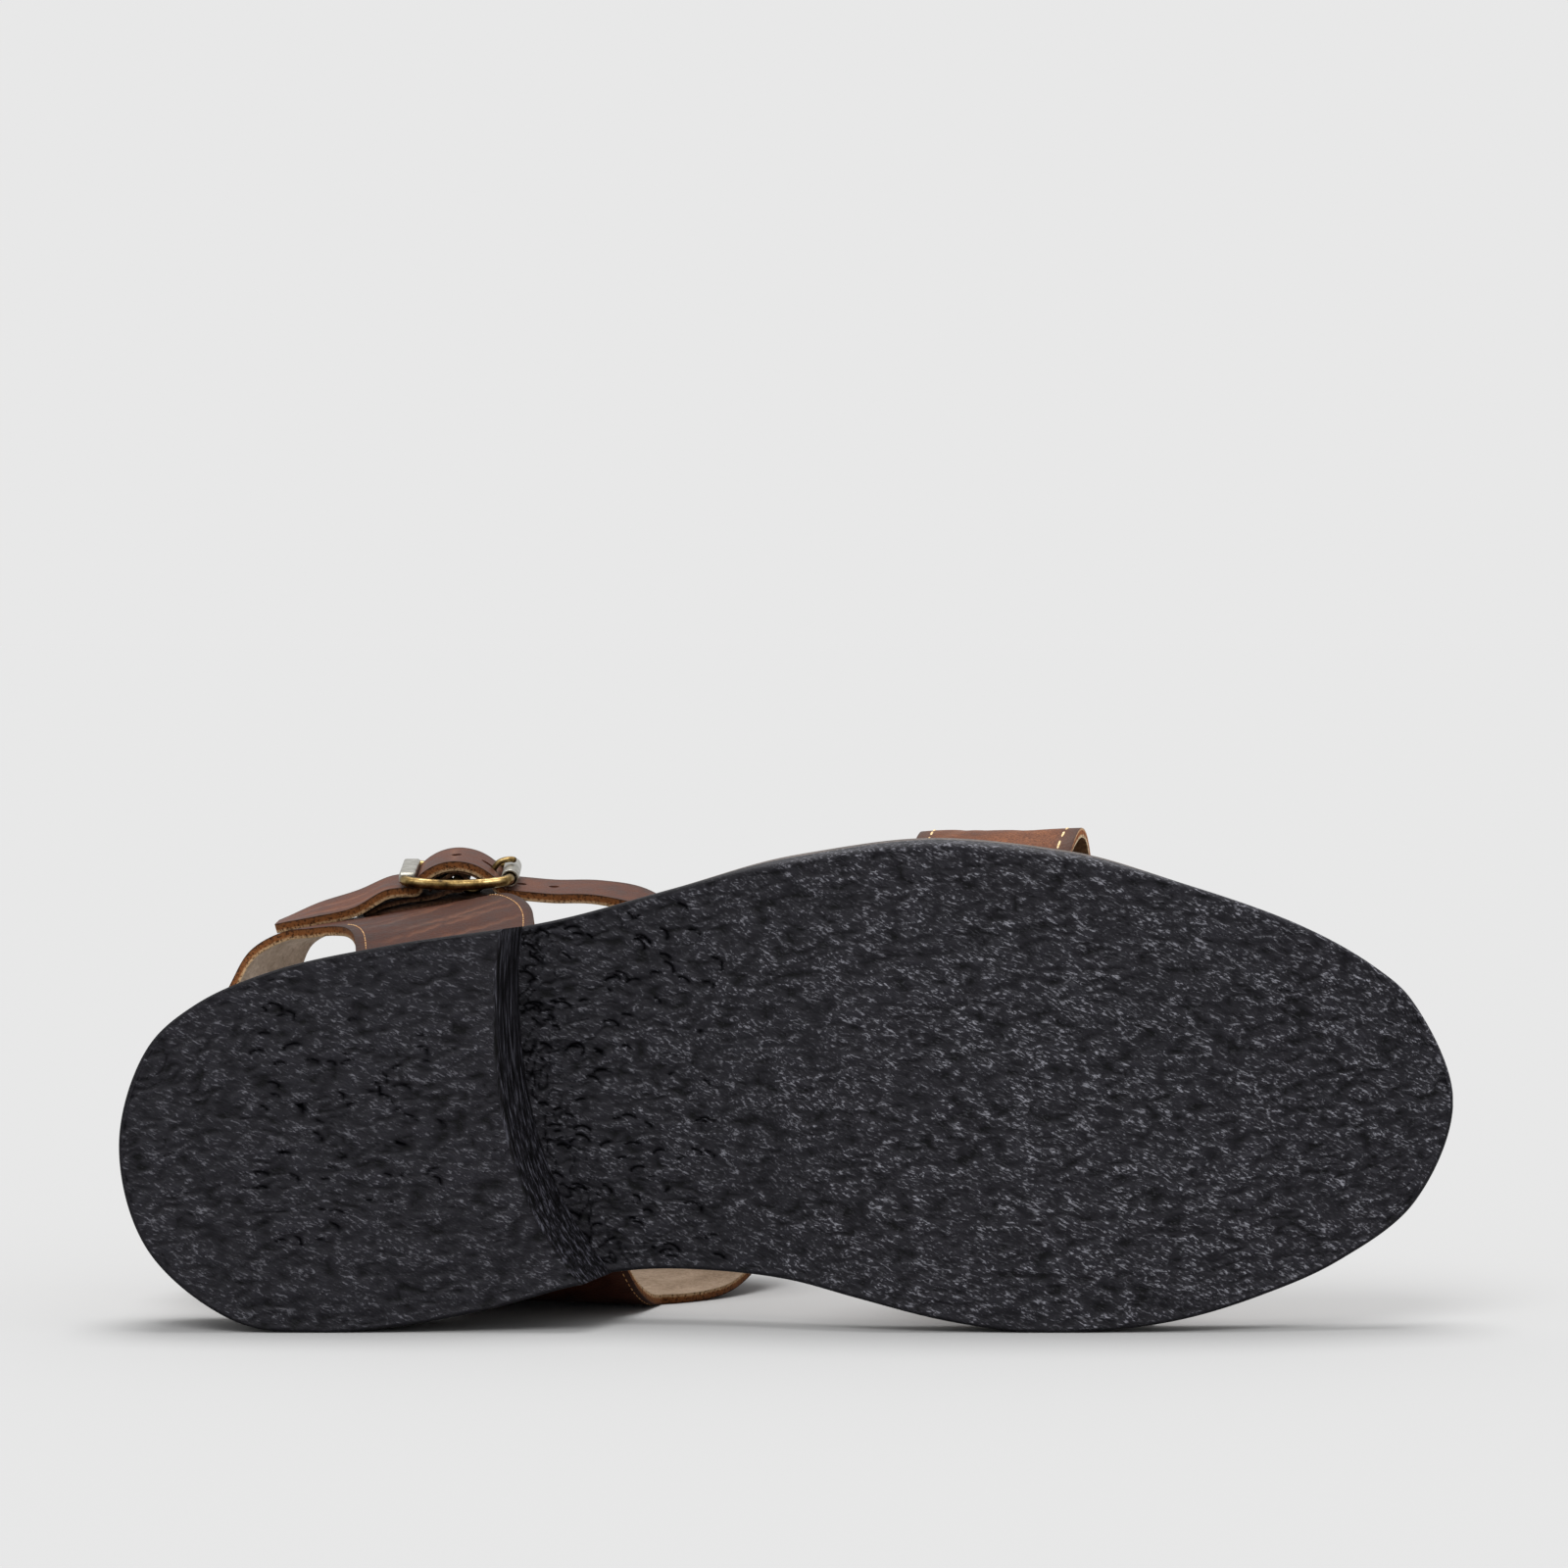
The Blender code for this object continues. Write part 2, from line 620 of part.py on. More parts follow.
def build_toe_band(collection, finish):
    """Broad band over the toes, from the lateral edge to the medial one."""
    section = smooth_curve(TOE_BAND_SECTION, 2)
    bm = bmesh.new()
    rows = []
    for place, (across, height) in enumerate(section):
        progress = place / (len(section) - 1)
        row = []
        for column in range(TOE_BAND_COLUMNS + 1):
            part = column / TOE_BAND_COLUMNS
            lateral = strap_foot(np.interp(part, (0, 1), TOE_BAND_LATERAL), "lateral")
            medial = strap_foot(np.interp(part, (0, 1), TOE_BAND_MEDIAL), "medial")
            rise = np.interp(part, (0, 1), (TOE_BAND_RISE_REAR, TOE_BAND_RISE_FRONT))
            swell = np.interp(part, (0, 1), TOE_BAND_SWELL) if across < 0 else 1.0
            point = lateral + (medial - lateral) * across * swell
            point[0] = lateral[0] + (medial[0] - lateral[0]) * progress ** 0.8
            point[2] += rise * height
            row.append(bm.verts.new(point))
        rows.append(row)
    sheet_faces(bm, rows)
    item = finish_object("toe_band", bm, collection, finish, 60.0)
    leather_wall(item, LEATHER)
    return item


def ribbon(name, path, width, buckle, collection, finish, thickness):
    """A strip of leather across the buckle, along a path of (s, t)."""
    bm = bmesh.new()
    rows = []
    for s, t in path:
        row = [buckle.point(s, width * share, t) for share in (-0.5, -0.17, 0.17, 0.5)]
        rows.append([bm.verts.new(point) for point in row])
    sheet_faces(bm, rows)
    item = finish_object(name, bm, collection, finish, 60.0)
    leather_wall(item, thickness)
    return item


def build_chape(collection, cutters, finish):
    """Strip folded round the centre bar, its two ends lying back on the quarter."""
    buckle = BuckleFrame()
    half = BUCKLE_LENGTH / 2
    radius = BUCKLE_WIRE + CLEARANCE + CHAPE_LEATHER / 2
    bar = -BUCKLE_BOW
    path = [(share * half, bar + height) for share, height in CHAPE_UPPER_FOLD]
    for degrees in range(110, -111, -20):
        turn = math.radians(degrees)
        path.append((radius * math.cos(turn), bar + radius * math.sin(turn)))
    path += [(share * half, bar + height) for share, height in CHAPE_LOWER_FOLD]
    item = ribbon("chape", smooth_curve(path, 2), CHAPE_WIDTH, buckle, collection, finish,
                  CHAPE_LEATHER)
    bm = bmesh.new()
    bmesh.ops.create_cube(bm, size=1.0)
    size = (CHAPE_SLOT_LENGTH, CHAPE_SLOT, CHAPE_SLOT_DEPTH)
    place = (2 * CLEARANCE, 0.0, bar)
    bm.transform(
        buckle.matrix() @ Matrix.Translation(place) @ Matrix.Diagonal((*size, 1.0))
    )
    mesh = bpy.data.meshes.new("chape_slot")
    bm.to_mesh(mesh)
    bm.free()
    slot = bpy.data.objects.new("chape_slot", mesh)
    bpy.context.scene.collection.objects.link(slot)
    cut(item, as_cutter(slot, cutters))
    return item


def wire(name, points, radius, closed, collection, finish):
    """A round wire as a closed mesh, from a poly curve through the points."""
    curve = bpy.data.curves.new(name, "CURVE")
    curve.dimensions = "3D"
    curve.bevel_depth = radius
    curve.bevel_resolution = 2
    curve.use_fill_caps = not closed
    spline = curve.splines.new("POLY")
    spline.points.add(len(points) - 1)
    for target, point in zip(spline.points, points):
        target.co = (*point, 1.0)
    spline.use_cyclic_u = closed
    holder = bpy.data.objects.new(name + "_curve", curve)
    collection.objects.link(holder)
    bpy.context.view_layer.update()
    shape = holder.evaluated_get(bpy.context.evaluated_depsgraph_get())
    mesh = bpy.data.meshes.new_from_object(shape)
    bpy.data.objects.remove(holder, do_unlink=True)
    bm = bmesh.new()
    bm.from_mesh(mesh)
    bpy.data.meshes.remove(mesh)
    bmesh.ops.remove_doubles(bm, verts=bm.verts, dist=1e-6)
    item = finish_object(name, bm, collection, finish, 50.0)
    return item


def rod(name, radius, length, place, collection, finish, sides=12):
    """A round bar across the buckle at a place (s, t)."""
    buckle = BuckleFrame()
    bm = bmesh.new()
    bmesh.ops.create_cone(
        bm, cap_ends=True, segments=sides, radius1=radius, radius2=radius, depth=length,
    )
    turn = Matrix.Rotation(math.radians(90.0), 4, "X")
    bm.transform(buckle.matrix() @ Matrix.Translation((place[0], 0.0, place[1])) @ turn)
    return finish_object(name, bm, collection, finish, 50.0)


def buckle_bow(s):
    """How far the long bars dip towards the foot."""
    return -BUCKLE_BOW * (1.0 - (2.0 * s / BUCKLE_LENGTH) ** 2)


def buckle_ring():
    """The frame's outline as (s, w), with the long bars sampled for their bow."""
    half_s, half_w = BUCKLE_LENGTH / 2, BUCKLE_WIDTH / 2
    straight_s, straight_w = half_s - BUCKLE_CORNER, half_w - BUCKLE_CORNER
    ring = []
    for side_s, side_w, start in ((1, 1, 0.0), (-1, 1, 90.0), (-1, -1, 180.0), (1, -1, 270.0)):
        for step in range(5):
            turn = math.radians(start + 22.5 * step)
            s = side_s * straight_s + BUCKLE_CORNER * math.cos(turn)
            w = side_w * straight_w + BUCKLE_CORNER * math.sin(turn)
            ring.append((s, w))
        if side_s == side_w:
            for step in range(1, 6):
                ring.append((side_s * straight_s * (1.0 - step / 3), side_w * half_w))
        else:
            ring.append((side_s * half_s, 0.0))
    return ring


def build_buckle(collection, cutters, finishes):
    """Frame with its centre bar and flat end bar, roller and prong."""
    buckle = BuckleFrame()
    half_s = BUCKLE_LENGTH / 2
    points = [buckle.point(s, w, buckle_bow(s)) for s, w in buckle_ring()]
    frame = wire("buckle_frame", points, BUCKLE_WIRE, True, collection, finishes["brass"])
    centre_bar = rod("centre_bar", BUCKLE_WIRE, BUCKLE_WIDTH, (0.0, -BUCKLE_BOW), collection,
                     finishes["brass"], 16)
    cut(frame, as_cutter(centre_bar, cutters), "UNION")
    bm = bmesh.new()
    bmesh.ops.create_cube(bm, size=1.0)
    size = (FLAT_BAR, BUCKLE_WIDTH - 2 * BUCKLE_CORNER, FLAT_BAR_THICKNESS)
    place = (-half_s + FLAT_BAR / 2 - BUCKLE_WIRE, 0.0, 0.0)
    bm.transform(Matrix.Translation(place) @ Matrix.Diagonal((*size, 1.0)))
    bmesh.ops.bevel(bm, geom=bm.edges, offset=0.0004, segments=2, affect="EDGES")
    bm.transform(buckle.matrix())
    flat_bar = finish_object("flat_bar", bm, collection, finishes["nickel"])
    cut(frame, as_cutter(flat_bar, cutters), "UNION")

    roller = rod("buckle_roller", ROLLER_RADIUS, ROLLER_LENGTH, (half_s, 0.0), collection,
                 finishes["nickel"], 20)
    bore = rod("roller_bore", BUCKLE_WIRE + CLEARANCE, 1.2 * ROLLER_LENGTH, (half_s, 0.0),
               collection, finishes["nickel"], 16)
    cut(roller, as_cutter(bore, cutters))

    radius = BUCKLE_WIRE + CLEARANCE + PRONG_WIRE
    path = []
    for degrees in range(20, 271, 25):
        turn = math.radians(degrees)
        path.append((radius * math.cos(turn), -BUCKLE_BOW + radius * math.sin(turn)))
    on_roller = ROLLER_RADIUS + CLEARANCE + PRONG_WIRE
    path += [(share * PRONG_HOLE * half_s, height) for share, height in PRONG_TO_HOLE]
    path += [
        (0.78 * half_s, on_roller - 2 * CLEARANCE), (half_s, on_roller),
        (1.10 * half_s, on_roller - CLEARANCE),
    ]
    points = [buckle.point(s, 0.0, t) for s, t in smooth_curve(path, 2)]
    wire("buckle_prong", points, PRONG_WIRE, False, collection, finishes["brass"])


def mesh_volume_and_centre(item):
    """Volume and centre of the evaluated solid, and its corners."""
    shape = item.evaluated_get(bpy.context.evaluated_depsgraph_get())
    bm = bmesh.new()
    bm.from_mesh(shape.to_mesh())
    bmesh.ops.triangulate(bm, faces=bm.faces)
    volume, centre = 0.0, Vector((0.0, 0.0, 0.0))
    for face in bm.faces:
        a, b, c = (vert.co for vert in face.verts)
        piece = a.dot(b.cross(c)) / 6.0
        volume += piece
        centre += piece * (a + b + c) / 4.0
    corners = [vert.co.copy() for vert in bm.verts]
    bm.free()
    shape.to_mesh_clear()
    return volume, centre / volume, corners


def resting_pose(parts):
    """Pose in which the sandal lies on its medial side.

    The floor is the face of the convex hull that the centre of mass stands over, looking
    towards the medial side.
    """
    bpy.context.view_layer.update()
    total, balance, corners = 0.0, Vector((0.0, 0.0, 0.0)), []
    for item in parts:
        volume, centre, own = mesh_volume_and_centre(item)
        total += volume
        balance += volume * centre
        corners += own
    balance /= total
    bm = bmesh.new()
    for corner in corners:
        bm.verts.new(corner)
    bmesh.ops.convex_hull(bm, input=bm.verts)
    bmesh.ops.triangulate(bm, faces=bm.faces)
    down = None
    for face in bm.faces:
        a, b, c = (vert.co for vert in face.verts)
        normal = (b - a).cross(c - a).normalized()
        if normal.dot(a - balance) < 0:
            normal = -normal
        if normal.y < math.cos(math.radians(REST_LEAN_DEG)):
            continue
        signs = []
        for near, far in ((a, b), (b, c), (c, a)):
            signs.append((far.x - near.x) * (balance.z - near.z)
                         - (far.z - near.z) * (balance.x - near.x))
        if min(signs) >= 0 or max(signs) <= 0:
            down = normal
    bm.free()
    lay = Matrix.Rotation(math.radians(-90.0), 4, "X")
    level = (lay.to_3x3() @ down).rotation_difference(Vector((0.0, 0.0, -1.0)))
    pose = level.to_matrix().to_4x4() @ lay
    spots = [pose @ corner for corner in corners]
    low = Vector([min(spot[axis] for spot in spots) for axis in range(3)])
    high = Vector([max(spot[axis] for spot in spots) for axis in range(3)])
    foot = Vector(((low.x + high.x) / 2, (low.y + high.y) / 2, low.z))
    return Matrix.Translation(-foot) @ pose


def main():
    clear_scene()
    sandal = new_collection("chunky_sandal")
    cutters = new_collection("cutters")
    finishes = {name: new_material(name) for name in FINISHES}
    build_sole(sandal, finishes)
    build_toe_band(sandal, finishes["tan_leather"])
    build_ankle_strap(sandal, cutters, finishes["brown_leather"])
    build_chape(sandal, cutters, finishes["brown_leather"])
    build_buckle(sandal, cutters, finishes)
    parts = list(sandal.objects)
    pose = resting_pose(parts)
    holder = bpy.data.objects.new("lying_shoe", None)
    sandal.objects.link(holder)
    holder.matrix_world = pose
    for item in parts + list(cutters.objects):
        item.parent = holder
    bpy.context.view_layer.update()


main()
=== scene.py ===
"""Looks of the chunky sandal: crepe sole, leather straps with their stitching, and buckle.

Each piece is modelled in a shoe frame, where X runs from the heel to the toe, +Y is the
medial side and Z goes up from the ground. LYING_POSE then lays it on its medial side.
"""
import math

import bmesh
import bpy
import numpy as np
from mathutils import Matrix, Vector, noise


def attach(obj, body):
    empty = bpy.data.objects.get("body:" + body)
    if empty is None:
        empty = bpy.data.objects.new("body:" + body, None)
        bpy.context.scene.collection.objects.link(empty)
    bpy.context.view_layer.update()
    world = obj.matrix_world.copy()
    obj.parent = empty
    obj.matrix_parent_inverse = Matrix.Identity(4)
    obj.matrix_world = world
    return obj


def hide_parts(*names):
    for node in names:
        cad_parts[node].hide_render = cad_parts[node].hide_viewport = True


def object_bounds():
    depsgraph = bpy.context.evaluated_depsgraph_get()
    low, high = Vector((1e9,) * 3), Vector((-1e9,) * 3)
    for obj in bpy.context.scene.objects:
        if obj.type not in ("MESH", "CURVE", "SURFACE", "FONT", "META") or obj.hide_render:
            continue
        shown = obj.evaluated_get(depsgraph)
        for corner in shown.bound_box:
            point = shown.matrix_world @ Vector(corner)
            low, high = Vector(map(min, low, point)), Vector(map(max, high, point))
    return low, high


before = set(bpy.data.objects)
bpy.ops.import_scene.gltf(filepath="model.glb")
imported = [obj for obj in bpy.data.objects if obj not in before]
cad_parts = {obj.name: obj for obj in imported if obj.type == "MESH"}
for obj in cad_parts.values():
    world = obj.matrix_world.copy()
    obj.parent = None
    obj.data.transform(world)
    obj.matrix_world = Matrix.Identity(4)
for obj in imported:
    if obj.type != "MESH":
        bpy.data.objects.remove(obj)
cad_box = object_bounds()

# From the shoe frame to the floor that the sandal lies on
LYING_POSE = Matrix((
    (0.999980, 0.006314, 0.000154, -0.144973),
    (0.000154, -0.048838, 0.998807, -0.056657),
    (0.006314, -0.998787, -0.048838, 0.040551),
    (0.0, 0.0, 0.0, 1.0),
))

# Sole sizes, in metres
SOLE_LENGTH = 0.290
BALL_WIDTH = 0.1066
HEEL_HEIGHT = 0.015
OUTSOLE_THICKNESS = 0.0070
MIDSOLE_THICKNESS = 0.0040
INSOLE_THICKNESS = 0.0030
TOE_SPRING = 0.0095
ARCH_LIFT = 0.0025
GROUND_BEVEL = 0.0010
MIDSOLE_STEP = 0.0001
SIDE_LEAN = 0.048
HEEL_TUCK = 0.052
FOREFOOT_FLARE = 0.090
BREAST_X = 0.0815
BREAST_SWEEP = 0.0185
BREAST_FLICK = 0.0018
BREAST_SLOPE_LATERAL = 0.0038
BREAST_SLOPE_MEDIAL = 0.0062
WAIST_START = 0.345
FOREFOOT_START = 0.590
FOREFOOT_END = 0.755

# Strap and buckle sizes, in metres
LEATHER = 0.0022
CLEARANCE = 0.0003
LASTING_INSET = 0.0026
UPPER_RISE = 0.090
TOE_BAND_RISE_REAR = 0.044
TOE_BAND_RISE_FRONT = 0.037
PUNCHED_HOLE = 0.0024
HOLE_SPACING = 0.0075
PRONG_HOLE = 0.58
STRAP_WIDTH = 0.0188
BUCKLE_LENGTH = 0.0243
BUCKLE_WIRE = 0.00125
BUCKLE_WIDTH = STRAP_WIDTH + 2 * (BUCKLE_WIRE + 2 * CLEARANCE)
BUCKLE_CORNER = 0.0024
BUCKLE_BOW = 0.0009
FLAT_BAR = 0.0038
FLAT_BAR_THICKNESS = 0.0018
ROLLER_RADIUS = 0.00205
ROLLER_LENGTH = 0.0164
PRONG_WIRE = 0.0007
PRONG_SLOT = (0.0080, 0.0026, 0.0090)
CHAPE_LEATHER = 0.0011
CHAPE_WIDTH = 0.0150
CHAPE_FRAY = 0.00035
CUT_BEVEL = 0.00030
BUCKLE_LEAN_DEG = 10.5

# Outline of the tread from the heel's rear round the medial side to the toe and back:
# share of SOLE_LENGTH, share of BALL_WIDTH
OUTLINE = (
    (0.000, 0.000), (0.021, 0.214), (0.087, 0.361), (0.146, 0.383), (0.205, 0.373),
    (0.278, 0.337), (0.339, 0.293), (0.385, 0.275), (0.436, 0.274), (0.499, 0.289),
    (0.550, 0.322), (0.617, 0.368), (0.676, 0.391), (0.734, 0.389), (0.793, 0.368),
    (0.852, 0.322), (0.911, 0.255), (0.970, 0.138), (1.000, -0.066), (0.970, -0.268),
    (0.940, -0.343), (0.882, -0.431), (0.764, -0.541), (0.705, -0.576), (0.602, -0.601),
    (0.499, -0.560), (0.322, -0.449), (0.205, -0.403), (0.116, -0.352), (0.057, -0.283),
    (0.021, -0.194),
)

# Edges of the ankle strap: lower edge x, y, z, then upper edge x, y, z, as shares of
# SOLE_LENGTH, BALL_WIDTH and UPPER_RISE above the midsole
ANKLE_STRAP = (
    (0.1660, -0.4100, 0.180, 0.3035, -0.4600, 0.210),
    (0.1570, -0.4260, 0.330, 0.2930, -0.4860, 0.410),
    (0.1480, -0.4290, 0.420, 0.2770, -0.4990, 0.570),
    (0.1390, -0.4290, 0.460, 0.2570, -0.4920, 0.700),
    (0.1240, -0.4250, 0.480, 0.2060, -0.4700, 0.785),
    (0.1034, -0.4180, 0.490, 0.1560, -0.4480, 0.755),
    (0.0785, -0.3800, 0.490, 0.1205, -0.4110, 0.690),
    (0.0635, -0.3120, 0.483, 0.1080, -0.3380, 0.665),
    (0.0460, -0.2080, 0.478, 0.0925, -0.2250, 0.655),
    (0.0350, -0.1030, 0.478, 0.0800, -0.1120, 0.650),
    (0.0310, 0.0000, 0.478, 0.0740, 0.0000, 0.650),
    (0.0360, 0.1030, 0.478, 0.0800, 0.0940, 0.650),
    (0.0520, 0.2150, 0.478, 0.0950, 0.1820, 0.655),
    (0.0800, 0.2980, 0.478, 0.1180, 0.2440, 0.660),
    (0.1240, 0.3300, 0.478, 0.1490, 0.2780, 0.672),
    (0.1720, 0.3370, 0.456, 0.1870, 0.2930, 0.682),
    (0.2280, 0.3380, 0.400, 0.2360, 0.3010, 0.690),
    (0.2760, 0.3390, 0.345, 0.2820, 0.3070, 0.700),
    (0.3240, 0.3430, 0.300, 0.3240, 0.3090, 0.722),
    (0.3660, 0.3480, 0.280, 0.3590, 0.3060, 0.767),
    (0.4010, 0.3525, 0.297, 0.3860, 0.2880, 0.822),
    (0.4340, 0.3490, 0.378, 0.4100, 0.2460, 0.883),
    (0.4580, 0.3300, 0.478, 0.4310, 0.1800, 0.933),
    (0.4790, 0.2720, 0.600, 0.4450, 0.0950, 0.967),
    (0.4930, 0.1700, 0.722, 0.4530, 0.0000, 0.983),
    (0.4980, 0.0450, 0.794, 0.4550, -0.1130, 0.978),
    (0.4930, -0.0850, 0.800, 0.4480, -0.2350, 0.950),
    (0.4760, -0.2250, 0.767, 0.4340, -0.3560, 0.911),
    (0.4450, -0.3560, 0.711, 0.4130, -0.4550, 0.867),
    (0.4050, -0.4480, 0.667, 0.3850, -0.5080, 0.844),
    (0.3500, -0.4920, 0.640, 0.3500, -0.5260, 0.838),
)
QUARTER_ROWS = (16, 20)
QUARTER_BELLY = 0.30
LATERAL_QUARTER = (0.171, 0.3066)
MEDIAL_QUARTER = (0.228, 0.372)
STRAP_END = (
    (0.1560, -0.4690, 0.614, 0.1560, -0.5090, 0.816),
    (0.1250, -0.4500, 0.590, 0.1250, -0.4820, 0.794),
    (0.1020, -0.4385, 0.575, 0.1020, -0.4540, 0.780),
    (0.0940, -0.4345, 0.600, 0.0940, -0.4440, 0.745),
)
BUCKLE_CENTRE = (0.2370, -0.5545, 0.755)

# The strap's way through the buckle, the prong's and the chape's
STRAP_LEAD_IN = ((0.0100, 0.0010), (0.0045, 0.0005))
STRAP_LEAD_OUT = ((0.0, 0.0001), (0.0040, 0.0006))
STRAP_DIP = (0.0003, 0.0002)
ROLLER_WRAP_DEG = (0.0, -25.0)
BAR_ARCH = (
    (0.0075, 0.0001), (0.0038, 0.0024), (-0.0008, 0.0032), (-0.0050, 0.0022), (-0.0084, -0.0003),
)
PRONG_TO_HOLE = ((0.44, -0.0044), (0.76, -0.0033), (0.96, -0.0016), (1.11, 0.0004))
CHAPE_UPPER_FOLD = ((-0.55, -0.0020), (-0.30, 0.0003))
CHAPE_LOWER_FOLD = ((-0.50, -0.0036), (-1.00, -0.0044), (-1.45, -0.0058), (-1.80, -0.0078))
ARCH_LINING = (
    (0.0064, -0.0008), (0.0036, 0.0009), (-0.0006, 0.0019), (-0.0046, 0.0009), (-0.0082, -0.0017),
)
CHAPE_BACKING = (
    (0.0082, -0.0052), (0.0035, -0.0053), (-0.0010, -0.0054), (-0.0060, -0.0061),
    (-0.0130, -0.0074), (-0.0190, -0.0086), (-0.0235, -0.0099),
)

TOE_BAND_LATERAL = (0.585, 0.698)
TOE_BAND_MEDIAL = (0.640, 0.780)
TOE_BAND_SWELL = ((0.0, 0.4, 0.7, 1.0), (1.17, 1.14, 1.40, 1.95))
TOE_BAND_SECTION = (
    (0.000, 0.00), (0.000, 0.06), (-0.025, 0.19), (-0.037, 0.36), (-0.019, 0.57),
    (0.060, 0.78), (0.230, 0.93), (0.460, 1.00), (0.680, 0.98), (0.850, 0.86),
    (0.945, 0.66), (0.980, 0.42), (0.995, 0.20), (1.000, 0.06), (1.000, 0.00),
)

# Mesh fineness, in metres, counts and steps a span
CREPE_ALONG = 0.0010
CREPE_ACROSS = 0.00042
CREPE_NEAR_BREAST = 0.00046
HEEL_ROWS = 150
HEEL_COLUMNS = 170
SPAN_STEPS = 8
STRAP_COLUMNS = 36
BAND_STEPS = 9
BAND_COLUMNS = 56

# Crepe: depth of its folds, the hooked marks, and how far the breast's torn lines and painted shade
# reach
FOLD_DEPTH = 0.00055
HOOK_DEPTH = 0.00026
HOOK_WIDTH = 0.00034
WAIST_HOOKS = 150
HEEL_HOOKS = 60
HOOK_SEED = 7
TORN_REACH = 0.012

# Stitches: pitch, thread and distance from the edge
BAND_PITCH = 0.0042
BAND_THREAD = 0.00027
BAND_INSET = 0.0030
QUARTER_PITCH = 0.0018
QUARTER_THREAD = 0.00013
QUARTER_INSET = 0.0023
STITCH_GAP = 0.16

# How far the burnished edges reach in, in metres
STRAP_MARGIN = 0.0022
BAND_MARGIN = 0.0042
CHAPE_MARGIN = 0.0016

# Camera and light, matched to the photograph
VIEW_WIDTH = 0.3379
CAMERA_DISTANCE = 1.25
CAMERA_X = -0.001
CAMERA_Z = 0.153
CAMERA_DOWN_DEG = 1.57
FLOOR_ALBEDO = 0.42
# Each lamp's share of the floor's light, height, turn and width. Past 90 is from behind.
LAMPS = (("soft_key", 0.30, 46.0, -16.0, 30.0), ("soft_top", 0.70, 100.0, 0.0, 34.0))

# Painted shade, multiplied into the grain side and the flesh side where a piece's shade attribute is
# set
GRAIN_PAINTED_SHADE_TINT = (0.52, 0.43, 0.38, 1.0)
FLESH_PAINTED_SHADE_TINT = (0.42, 0.35, 0.29, 1.0)


def mix(near, far, low, high, at):
    return near * (high - at) / (high - low) + far * (at - low) / (high - low)


def smooth_curve(points, steps, closed=False):
    """Centripetal Catmull-Rom curve through the points, with steps samples a span."""
    points = np.array(points, dtype=float)
    if closed:
        chain = np.vstack((points[-1:], points, points[:2]))
    else:
        chain = np.vstack((2 * points[0] - points[1], points, 2 * points[-1] - points[-2]))
    p0, p1, p2, p3 = chain[:-3], chain[1:-2], chain[2:-1], chain[3:]
    t1 = np.sqrt(np.linalg.norm(p1 - p0, axis=1))[:, None]
    t2 = t1 + np.sqrt(np.linalg.norm(p2 - p1, axis=1))[:, None]
    t3 = t2 + np.sqrt(np.linalg.norm(p3 - p2, axis=1))[:, None]
    samples = []
    for step in range(steps):
        at = t1 + (t2 - t1) * step / steps
        a1 = mix(p0, p1, 0.0, t1, at)
        a2 = mix(p1, p2, t1, t2, at)
        a3 = mix(p2, p3, t2, t3, at)
        b1 = mix(a1, a2, 0.0, t2, at)
        b2 = mix(a2, a3, t1, t3, at)
        samples.append(mix(b1, b2, t1, t2, at))
    samples = np.stack(samples, axis=1).reshape(-1, points.shape[1])
    if not closed:
        samples = np.vstack((samples, points[-1:]))
    return samples


def ease(share):
    return 0.5 - 0.5 * np.cos(np.pi * np.clip(share, 0.0, 1.0))


def unit(vectors):
    return vectors / np.linalg.norm(vectors, axis=-1, keepdims=True)


class Outline:
    """The sole's outline, drawn in from its edge by an inset, as two edges over x."""

    def __init__(self, inset=0.0):
        size = np.array((SOLE_LENGTH, BALL_WIDTH))
        ring = smooth_curve(np.array(OUTLINE) * size, 24, closed=True)
        along = unit(np.roll(ring, -1, axis=0) - np.roll(ring, 1, axis=0))
        ring = ring + np.stack((along[:, 1], -along[:, 0]), axis=1) * inset
        ring = np.roll(ring, -int(np.argmin(ring[:, 0])), axis=0)
        toe = int(np.argmax(ring[:, 0]))
        self.medial = ring[:toe + 1]
        self.lateral = np.vstack((ring[toe:], ring[:1]))[::-1]
        self.rear = ring[0, 0]
        self.toe = ring[toe, 0]

    def across(self, x, share):
        """Y at a share of the width, 0 on the lateral edge and 1 on the medial one."""
        lateral = np.interp(x, self.lateral[:, 0], self.lateral[:, 1])
        medial = np.interp(x, self.medial[:, 0], self.medial[:, 1])
        return lateral + share * (medial - lateral)


def tread_height(x, share):
    """Height of the outsole's underside: raised heel, waist, flat forefoot, toe spring."""
    along = x / SOLE_LENGTH
    waist = np.clip((along - WAIST_START) / (FOREFOOT_START - WAIST_START), 0.0, 1.0)
    height = HEEL_HEIGHT * (1.0 - ease(waist))
    height = height + ARCH_LIFT * np.sin(np.pi * waist) ** 2 * share ** 2
    toe = np.clip((along - FOREFOOT_END) / (1.0 - FOREFOOT_END), 0.0, None)
    return height + TOE_SPRING * toe ** 1.8


def wall_lean(x, share):
    """How far the sole's side leans out as it rises: tucked in at the heel, flared ahead."""
    tuck = HEEL_TUCK * (1.0 - ease((x - 0.085) / 0.045))
    flare = FOREFOOT_FLARE * ease((x - 0.120) / 0.030) * (1.0 - ease((x - 0.205) / 0.030))
    return SIDE_LEAN + (flare - tuck) * np.clip(1.0 - 4.0 * share, 0.0, 1.0)


def breast_x(share, height):
    """Front edge of the heel block."""
    ground = BREAST_X + BREAST_SWEEP * share ** 3 + BREAST_FLICK * (1.0 - share) ** 8
    slope = BREAST_SLOPE_LATERAL + (BREAST_SLOPE_MEDIAL - BREAST_SLOPE_LATERAL) * share
    return ground + slope * height / HEEL_HEIGHT


